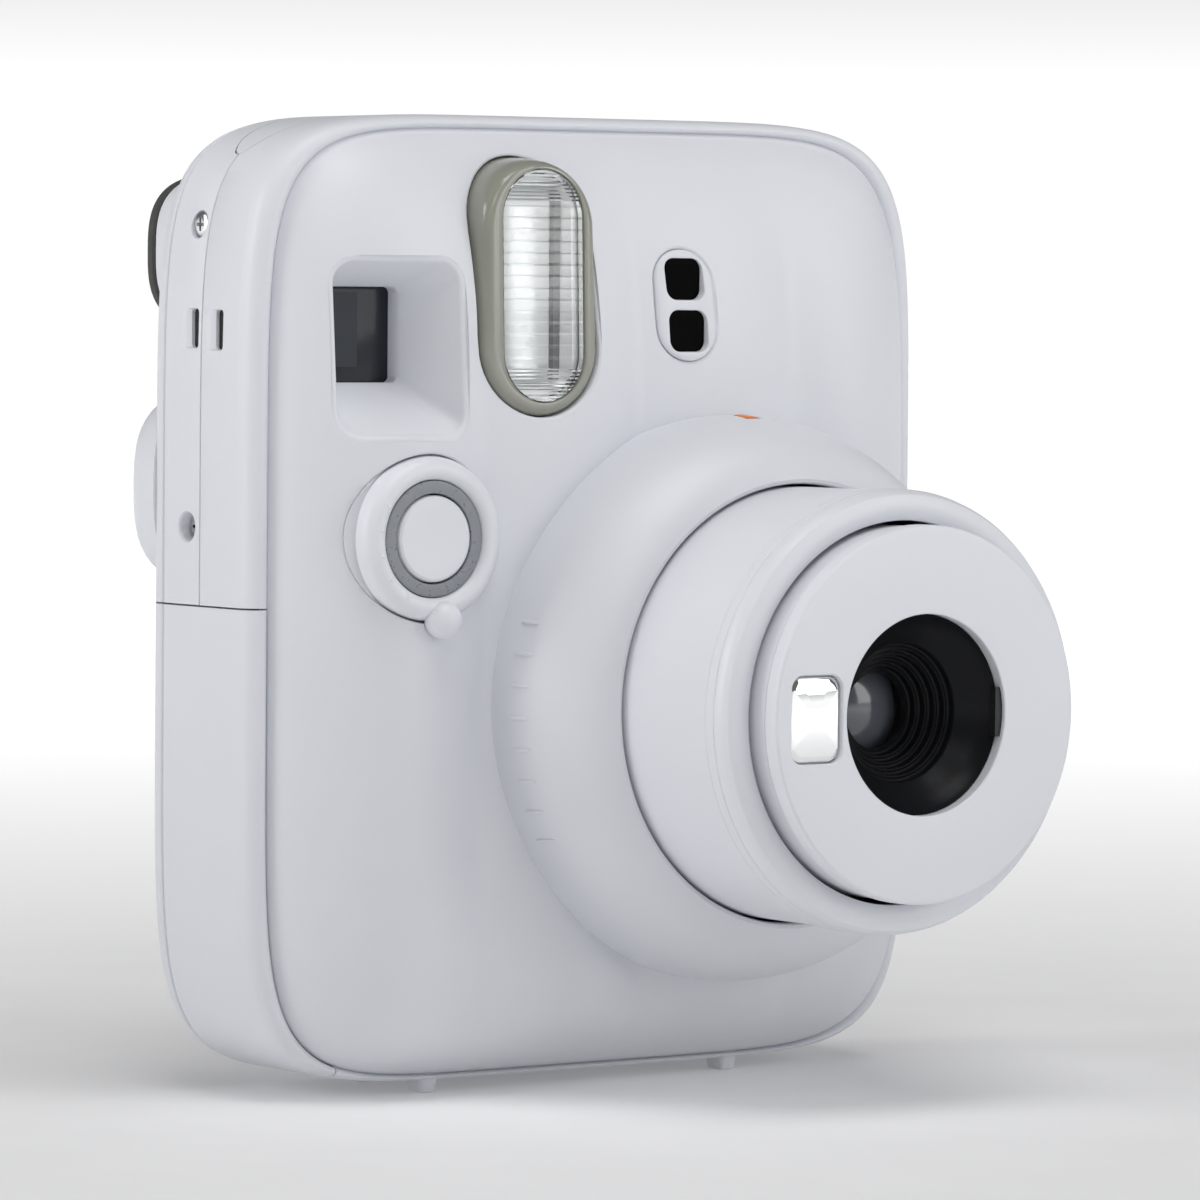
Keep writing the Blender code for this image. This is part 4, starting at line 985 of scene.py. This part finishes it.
def shutter_controls():
    spot = (BUTTON_X, BUTTON_Z)
    face = BUTTON_FACE_Y
    top = -(face - 1.9)
    floor = -(face + 1.1)
    section = [(7.2, floor), (7.2, top - 1.2), (7.3, top - 0.75), (7.55, top - 0.3), (8.0, top + 0.02),
               (8.5, top + 0.12), (9.0, top - 0.02), (9.5, top - 0.38), (9.85, top - 0.9),
               (10.05, top - 1.5), (10.1, top - 2.2), (10.1, floor)]
    ring = lathe("timer_ring_body", section, None, 144, spot)
    angle = radians(-83.0)
    knob_x, knob_z = BUTTON_X + 10.0 * cos(angle), BUTTON_Z + 10.0 * sin(angle)
    bm = bmesh.new()
    bmesh.ops.create_uvsphere(bm, u_segments=48, v_segments=32, radius=KNOB_R * MM)
    bmesh.ops.translate(bm, verts=bm.verts, vec=at(knob_x, -top + 0.5, knob_z))
    bmesh.ops.bisect_plane(bm, geom=bm.verts[:] + bm.edges[:] + bm.faces[:], clear_outer=True,
                           plane_co=at(0, face - 0.55, 0), plane_no=(0, 1, 0))
    bmesh.ops.holes_fill(bm, edges=[e for e in bm.edges if e.is_boundary])
    join(ring, new_object("timer_knob", bm))
    fit(painted(ring, SATIN), "timer_ring", "shell_white", "self_timer_ring")
    for i in range(5):
        theta = radians(150 + 22 * i)
        size = 0.5 if i else 0.8
        x, z = BUTTON_X + 8.35 * cos(theta), BUTTON_Z + 8.35 * sin(theta)
        dot = stack("timer_dot_%d" % (i + 1), disc(x, z, size * 0.5, 24),
                    [(0.0, -top + 0.4), (0.0, -top - 0.14), (-0.06, -top - 0.22), (-0.16, -top - 0.25)],
                    SATIN)
        fit(dot, "timer_ring", "shell_white")
    light = lathe("button_ring", [(5.55, floor - 3.0), (5.55, top - 0.75, 0.15), (7.15, top - 0.75, 0.2),
                                  (7.15, floor - 3.0)], GREY, 96, spot)
    fit(light, "camera_body", "light_grey", "button_light_ring")
    cap = lathe("button_cap", [(0.0, top - 0.62), (1.5, top - 0.6), (3.0, top - 0.52), (4.4, top - 0.38),
                               (4.95, top - 0.42), (5.22, top - 0.66), (5.35, top - 1.1),
                               (5.35, floor - 2.0), (2.0, floor - 2.0), (2.0, floor - 5.6),
                               (0.0, floor - 5.6)], SATIN, 96, spot)
    fit(cap, "shutter_button", "shell_white", "shutter_button")


def viewfinder():
    (x0, x1), (y0, y1), (z0, z1) = span("viewfinder_window")
    pane = stack("finder_pane", rounded_box(x0, x1, z0, z1, 0.6), rounded_stations(y0, y1, 0.12),
                 PANE_DARK)
    fit(pane, "camera_body", "clear_plastic", "viewfinder_window")
    field = stack("finder_frame", rounded_box(FINDER_THROAT[0] - 0.3, FINDER_THROAT[1] - 4.6,
                                              FINDER_THROAT[2] + 1.9, FINDER_THROAT[3] - 0.7, 0.2),
                  [(0.0, y0 + 0.2), (0.0, y0 - 0.02)], PANE_FIELD)
    fit(field, "camera_body", "clear_plastic")
    (x0, x1), (y0, y1), (z0, z1) = span("eyecup")
    outer = squircle(EYE_X, EYE_Z, EYE_HALF_W, EYE_HALF_H, 3.0, 96)
    cup = stack("eye_rubber", outer, [(-0.25, y0), (0.0, y0 + 0.25), (0.05, y0 + 0.9), (-0.05, y1 - 0.5),
                                      (-0.3, y1 - 0.18), (-0.8, y1 - 0.02), (-1.3, y1)])
    hole = rounded_box(-41.9, -29.9, 96.6, 107.1, 2.5, 8)
    cut(cup, stack("cup_hole", hole, [(0.0, 20.0), (0.0, y1 - 0.9), (0.25, y1 - 0.35), (0.7, y1 - 0.06),
                                      (0.9, y1 + 0.1), (0.9, 36.0)]))
    fit(painted(cup, RUBBER), "camera_body", "dark_rubber", "eyecup")


# ---------------------------------------------------------------- lens group

def lens_group():
    ring_y, ring_r = span("twist_ring")[1], 27.05
    front, back = -ring_y[0], -ring_y[1]
    profile = [(23.55, front - 0.62), (23.75, front - 0.42), (24.3, front - 0.12), (25.2, front + 0.0),
               (26.0, front - 0.12), (26.7, front - 0.5), (27.1, front - 1.15), (27.3, front - 1.9),
               (27.33, front - 2.42), (27.24, front - 2.5), (27.24, front - 2.62), (27.34, front - 2.7),
               (27.35, front - 4.0), (27.27, front - 4.1), (27.27, front - 4.22), (27.34, front - 4.3),
               (27.25, front - 7.5), (27.12, front - 10.5), (ring_r, front - 14.0), (ring_r, back + 0.2),
               (ring_r - 0.2, back), (25.3, back), (25.3, front - 1.9), (23.55, front - 1.9)]
    fit(lathe("focus_ring", profile, SATIN, 192), "twist_ring", "shell_white", "twist_ring")
    sleeve_y = span("guide_sleeve")[1]
    sleeve = [(25.0, -sleeve_y[0], 0.2), (25.0, -sleeve_y[1]), (23.45, -sleeve_y[1]),
              (23.45, -sleeve_y[0], 0.2)]
    fit(lathe("inner_sleeve", sleeve, MATTE_BLACK, ROUND), "lens_sleeve", "black_plastic",
        "guide_sleeve")
    barrel_y = span("inner_barrel")[1]
    outer_r, wall = 22.9, 1.7
    barrel = [(outer_r, -barrel_y[0], 0.15), (outer_r, -barrel_y[1]), (outer_r - wall, -barrel_y[1]),
              (outer_r - wall, -barrel_y[0], 0.15)]
    fit(lathe("lens_tube", barrel, SATIN, 160), "lens_barrel", "shell_white", "inner_barrel")

    disc_y = span("front_disc")[1]
    face = -disc_y[0]
    hole_r, edge_r = 12.3, 23.15
    plate_profile = [(hole_r, face, 0.25), (edge_r, face, 0.5), (edge_r, face - 2.3, 0.2),
                     (hole_r, face - 2.3)]
    plate = lathe("lens_face", plate_profile, None, 192, steps=6)
    (mx0, mx1), _, (mz0, mz1) = span("selfie_mirror")
    pocket = rounded_box(mx0 - 0.25, mx1 + 0.25, mz0 - 0.25, mz1 + 0.25, 1.7, 8)
    cut(plate, stack("mirror_pocket", pocket, [(0.2, -56.0), (0.2, -face - 0.02), (0.05, -face + 0.08),
                                               (0.0, -face + 0.25), (0.0, -face + 1.3)]))
    fit(painted(plate, SATIN), "lens_barrel", "shell_white", "front_disc")
    window = rounded_box(mx0, mx1, mz0, mz1, 1.5, 10)
    bm = bmesh.new()
    loops = [[at(x, -face + 1.0, z) for x, z in window(0)]]
    steps = 14
    for i in range(steps + 1):
        share = i / steps
        ring = []
        for x, z in window(0):
            px, pz = middle((mx0, mx1)), middle((mz0, mz1))
            fx, fz = px + (x - px) * (1 - share * 0.98), pz + (z - pz) * (1 - share * 0.98)
            dome = 0.55 * (1 - ((fx - px) ** 2 + (fz - pz) ** 2) / 45.0)
            edge = 0.18 if i == 0 else 0.0
            ring.append(at(fx, -face + 0.62 - dome + edge, fz))
        loops.append(ring)
    bridge(bm, loops)
    fit(new_object("mirror_window", bm, MIRROR), "lens_barrel", "mirror_silver", "selfie_mirror")

    hood_y = span("lens_hood")[1]
    hood_back, hood_front = -hood_y[1], -hood_y[0] - 0.7
    throat_r, rims = 4.7, 5
    hood = [(hole_r - 0.1, hood_front - 0.1), (hole_r - 0.1, hood_back), (throat_r, hood_back),
            (throat_r, hood_back + 1.0)]
    rim_low, bowl_low = hood_back + 1.0, hood_front - 3.9
    for i in range(rims):
        radius = throat_r + (8.5 - throat_r) * (i + 1) / rims
        forward = rim_low + (bowl_low - rim_low) * (i + 1) / rims
        hood += [(radius - 0.25, forward - 1.15, 0.1), (radius, forward - 1.0, 0.1),
                 (radius + 0.02, forward - 0.15, 0.15), (radius + 0.12, forward, 0.1)]
    hood += smooth_curve([(8.9, hood_front - 3.65), (9.9, hood_front - 2.7), (10.9, hood_front - 1.75),
                          (11.7, hood_front - 0.75), (12.1, hood_front - 0.05)], 5)
    fit(lathe("hood_steps", hood, HOOD_BLACK, ROUND), "lens_barrel", "black_plastic", "lens_hood")
    glass_y = span("front_element")[1]
    tip, base = -glass_y[0], -glass_y[1]
    dome = [(6.0 * sin(radians(a)) / sin(radians(40)), tip - 1.85 * (1 - cos(radians(a)))
             / (1 - cos(radians(40)))) for a in range(0, 41, 4)]
    fit(lathe("outer_glass", dome + [(6.0, base), (0.0, base)], COATED_GLASS, 96), "lens_barrel",
        "lens_glass", "front_element")
    notch_block = stack("hood_notch", rounded_box(LENS_X + 11.2, LENS_X + 12.42, LENS_Z - 3.0,
                                                  LENS_Z + 3.0, 0.1, 3),
                        [(0, -hood_front + 0.3), (0, -hood_front - 0.75)], BLACK)
    fit(notch_block, "lens_barrel", "black_plastic")
    mark_y = middle(span("index_mark")[1])
    bm = bmesh.new()
    loops = []
    for grow, lift in ((0.0, -1.6), (0.0, -0.05), (-0.1, 0.06), (-0.3, 0.1)):
        ring = []
        for across, along in rounded_box(-0.85, 0.85, -1.4, 1.4, 0.3, 4)(grow):
            slope = asin(max(-1, min(1, (-mark_y + along - DOME_F) / DOME_HALF_F)))
            ring.append(shroud_point(pi / 2 - across / 35.0, slope, lift))
        loops.append(ring)
    bridge(bm, loops)
    fit(new_object("index_dot", bm, ORANGE), "camera_body", "orange_mark", "index_mark")


# ---------------------------------------------------------------- back pieces

def film_door():
    x0, x1, z0, z1 = DOOR
    low, high, gap = 19.95, 22.35, 0.3
    door = stack("film_door_panel", rounded_box(x0 + gap + 1.2, x1 - gap, z0 + gap, z1 - gap, 1.0, 6),
                 [(0.0, low), (0.0, high - 0.3), (-0.09, high - 0.09), (-0.3, high)])
    keep_inside(door, outline_prism("door_shape", inset(OUTER, 2.6 + gap), 10, 40))
    edge = stack("door_barrel", disc(HINGE_X, HINGE_Y, 1.2, 32), [(0, z0 + gap), (0, z1 - gap)],
                 axis="z")
    pins = stack("door_pins", disc(HINGE_X, HINGE_Y, 0.65, 24), [(0, z0 - 2.6), (0, z1 + 2.6)],
                 axis="z")
    join(door, edge, pins)
    window = rounded_box(18.0, 24.0, 40.0, 72.0, 2.0, 8)
    cut(door, stack("window_hole", window, [(0, 15.0), (0, 21.6), (0.15, 22.1), (0.5, high + 0.05),
                                            (0.5, 30.0)]),
        stack("latch_pocket", rounded_box(38.0, 46.6, 46.0, 68.0, 1.2, 6),
              [(0, 21.2), (0, 22.1), (0.1, 22.25), (0.35, high + 0.05), (0.35, 30.0)]),
        solid_box("latch_channel", (41.8, 60.0), (20.35, 21.85), (53.6, 60.4)))
    fit(painted(door, SHELL), "film_door", "shell_white", "film_door")
    pane = stack("check_pane", rounded_box(18.3, 23.7, 40.3, 71.7, 1.8, 8),
                 rounded_stations(20.4, 22.0, 0.2), CLEAR)
    fit(pane, "film_door", "clear_plastic", "film_check_window")
    latch = stack("latch_slide", rounded_box(41.0, 46.2, 46.4, 67.6, 0.8, 6),
                  [(0.0, 21.5), (0.0, 22.9), (-0.12, 23.1), (-0.4, 23.2)])
    tongue = solid_box("latch_tongue", (44.5, 47.7), (20.65, 21.65), (54.0, 60.0))
    join(latch, tongue)
    ribs = [stack("latch_rib", rounded_box(41.6, 45.6, z - 0.4, z + 0.4, 0.35, 4),
                  [(0.0, 22.8), (0.0, 23.25), (-0.15, 23.38), (-0.3, 23.4)])
            for z in (50.0, 51.8, 53.6, 60.4, 62.2, 64.0)]
    join(latch, *ribs)
    fit(painted(latch, SATIN), "door_latch", "shell_white", "door_latch")


def side_screws():
    for node in SCREWS:
        (x0, x1), (y0, y1), (z0, z1) = span(node)
        y, z, radius = middle((y0, y1)), middle((z0, z1)), 1.55
        head = stack(node + "_head", disc(y, z, radius, 48),
                     [(0.0, x1), (0.0, x0 + 0.3), (-0.1, x0 + 0.16), (-0.35, x0 + 0.04), (-0.8, x0)],
                     axis="x")
        cross = []
        for half_y, half_z in ((0.85, 0.2), (0.2, 0.85)):
            slot_shape = rounded_box(y - half_y, y + half_y, z - half_z, z + half_z, 0.1, 3)
            cross.append(stack("cross", slot_shape, [(0, -53.0), (0, x0), (-0.05, x0 + 0.5)],
                               axis="x"))
        cut(head, *cross)
        fit(painted(head, SCREW_STEEL), "camera_body", "steel", node)


def counter_marks():
    """Plain count marks round the film counter's dial."""
    (x0, x1), (y0, y1), (z0, z1) = span("film_counter_dial")
    cx, cz, radius = middle((x0, x1)), middle((z0, z1)), (x1 - x0) / 2
    dial = stack("counter_dial_face", disc(cx, cz, radius, 72), rounded_stations(y0, y1, 0.15),
                 GEAR_WHITE)
    fit(dial, "counter_dial", "gear_white", "film_counter_dial")
    for i in range(11):
        theta = radians(90 - 30 * i)
        inner, outer = radius - 1.5, radius - 0.4
        wide = 0.13 if i else 0.3
        corners = [(inner, -wide), (outer, -wide), (outer, wide), (inner, wide)]
        points = [(cx + r * cos(theta) - w * sin(theta), cz + r * sin(theta) + w * cos(theta))
                  for r, w in corners]
        mark = stack("count_mark_%d" % i, lambda grow, points=points: points,
                     [(0, y1 - 0.05), (0, y1 + 0.03)], ORANGE if i == 0 else BLACK)
        fit(mark, "counter_dial", "black_plastic")


front_cover()
lens_shroud()
rear_cover()
strap_shade_plates()
battery_door()
top_slot_bezel()
flash_unit()
sensor_unit()
shutter_controls()
viewfinder()
lens_group()
film_door()
side_screws()
counter_marks()

# ---------------------------------------------------------------- carried-over nodes

CARRIED = {
    "button_switch": BLACK, "viewfinder_tunnel": MATTE_BLACK, "eyepiece_lens": CLEAR,
    "lens_cell": MATTE_BLACK, "shutter_plate": MATTE_BLACK, "rear_element": GLASS,
    "rear_cell": MATTE_BLACK, "shutter_blade_upper": STEEL, "shutter_blade_lower": STEEL,
    "film_chamber": MATTE_BLACK, "film_pack": BROWN_FILM, "dark_cone": MATTE_BLACK,
    "eject_roller_front": STEEL, "eject_roller_rear": STEEL, "roller_bracket_left": STEEL,
    "roller_bracket_right": STEEL, "eject_motor": STEEL, "motor_pinion": GEAR_WHITE,
    "idler_gear": GEAR_WHITE, "circuit_board": GREEN, "flash_capacitor": BLACK,
    "battery_cradle": BLACK, "battery_cell_1": SLEEVE, "battery_cell_2": SLEEVE,
    "counter_window": CLEAR,
}
for name, mat in CARRIED.items():
    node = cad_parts[name]
    node.data.materials.clear()
    node.data.materials.append(mat)


# ---------------------------------------------------------------- stage, light, camera

SKY_LIGHT, HORIZON_LIGHT = 0.13, 1.02
FLOOR_HALF = 6.0
LIGHT_TARGET = (0.0, 0.0, 0.06)


def stage_floor():
    """Pale floor that glows more with distance from the object, to meet a white horizon."""
    bm = bmesh.new()
    corners = [bm.verts.new((x * FLOOR_HALF, y * FLOOR_HALF, 0.0))
               for x, y in ((-1, -1), (1, -1), (1, 1), (-1, 1))]
    bm.faces.new(corners)
    floor = new_object("floor", bm)
    floor.location.z = CAD_BOX[0][2]
    mat, tree, shader = node_tree("pale_floor")
    place = tree.nodes.new("ShaderNodeTexCoord").outputs["Object"]
    grain = noise(tree, place, 40.0, 2.0)
    tree.links.new(two_tones(tree, grain, (0.76, 0.76, 0.765), (0.78, 0.78, 0.785)),
                   shader.inputs["Base Color"])
    shader.inputs["Roughness"].default_value = 0.8
    reach = tree.nodes.new("ShaderNodeVectorMath")
    reach.operation = "LENGTH"
    tree.links.new(place, reach.inputs[0])
    tree.links.new(spread(tree, reach.outputs["Value"], 0.12, 0.97, 0.12, 0.95),
                   shader.inputs["Emission Strength"])
    shader.inputs["Emission Color"].default_value = (1.0, 1.0, 1.0, 1.0)
    floor.data.materials.append(mat)


def softbox(name, spot, size, power):
    """Rectangular area light aimed at the middle of the camera."""
    data = bpy.data.lights.new(name, "AREA")
    data.shape = "RECTANGLE"
    data.size, data.size_y = size
    data.energy = power
    lamp = bpy.data.objects.new(name, data)
    bpy.context.scene.collection.objects.link(lamp)
    lamp.location = spot
    aim = Vector(LIGHT_TARGET) - Vector(spot)
    lamp.rotation_euler = aim.to_track_quat("-Z", "Y").to_euler()


def world_light():
    """Dim white sky that brightens to white at the horizon."""
    world = bpy.data.worlds.new("studio")
    bpy.context.scene.world = world
    world.use_nodes = True
    tree = world.node_tree
    sky = tree.nodes["Background"]
    sky.inputs["Color"].default_value = (1.0, 1.0, 1.0, 1.0)
    place = tree.nodes.new("ShaderNodeTexCoord").outputs["Generated"]
    parts = tree.nodes.new("ShaderNodeSeparateXYZ")
    tree.links.new(place, parts.inputs["Vector"])
    tree.links.new(spread(tree, parts.outputs["Z"], HORIZON_LIGHT, SKY_LIGHT, 0.03, 0.1),
                   sky.inputs["Strength"])


CAMERA_AZIMUTH, CAMERA_ELEVATION, CAMERA_ROLL = radians(-36.15), radians(2.68), radians(0.48)
CAMERA_DISTANCE, CAMERA_TARGET = 0.857, Vector((0.0, CREASE_Y * MM, 0.061))
CAMERA_LENS, SENSOR_WIDTH, SHIFT_X, SHIFT_Y = 203.2, 36.0, 0.0083, 0.0008


def place_camera():
    a, e, roll = CAMERA_AZIMUTH, CAMERA_ELEVATION, CAMERA_ROLL
    backwards = Vector((sin(a) * cos(e), -cos(a) * cos(e), sin(e)))
    right = Vector((cos(a), sin(a), 0.0))
    up = backwards.cross(right)
    side = right * cos(roll) + up * sin(roll)
    top = up * cos(roll) - right * sin(roll)
    data = bpy.data.cameras.new("camera")
    data.lens = CAMERA_LENS
    data.sensor_width = SENSOR_WIDTH
    data.shift_x = SHIFT_X
    data.shift_y = SHIFT_Y
    camera = bpy.data.objects.new("camera", data)
    bpy.context.scene.collection.objects.link(camera)
    turn = Matrix((side, top, backwards)).transposed().to_4x4()
    camera.matrix_world = Matrix.Translation(CAMERA_TARGET + backwards * CAMERA_DISTANCE) @ turn
    bpy.context.scene.camera = camera


stage_floor()
world_light()
softbox("overhead", (-0.1, -0.35, 1.45), (0.9, 0.9), 9.5)
softbox("front_left", (-0.75, -1.35, 1.15), (0.6, 0.6), 3.0)
softbox("left_rear", (-1.5, 0.65, 0.55), (0.7, 0.9), 9.0)
softbox("front_right", (1.05, -1.5, 0.75), (0.8, 1.2), 8.0)
place_camera()
bpy.context.scene.view_settings.view_transform = "Standard"
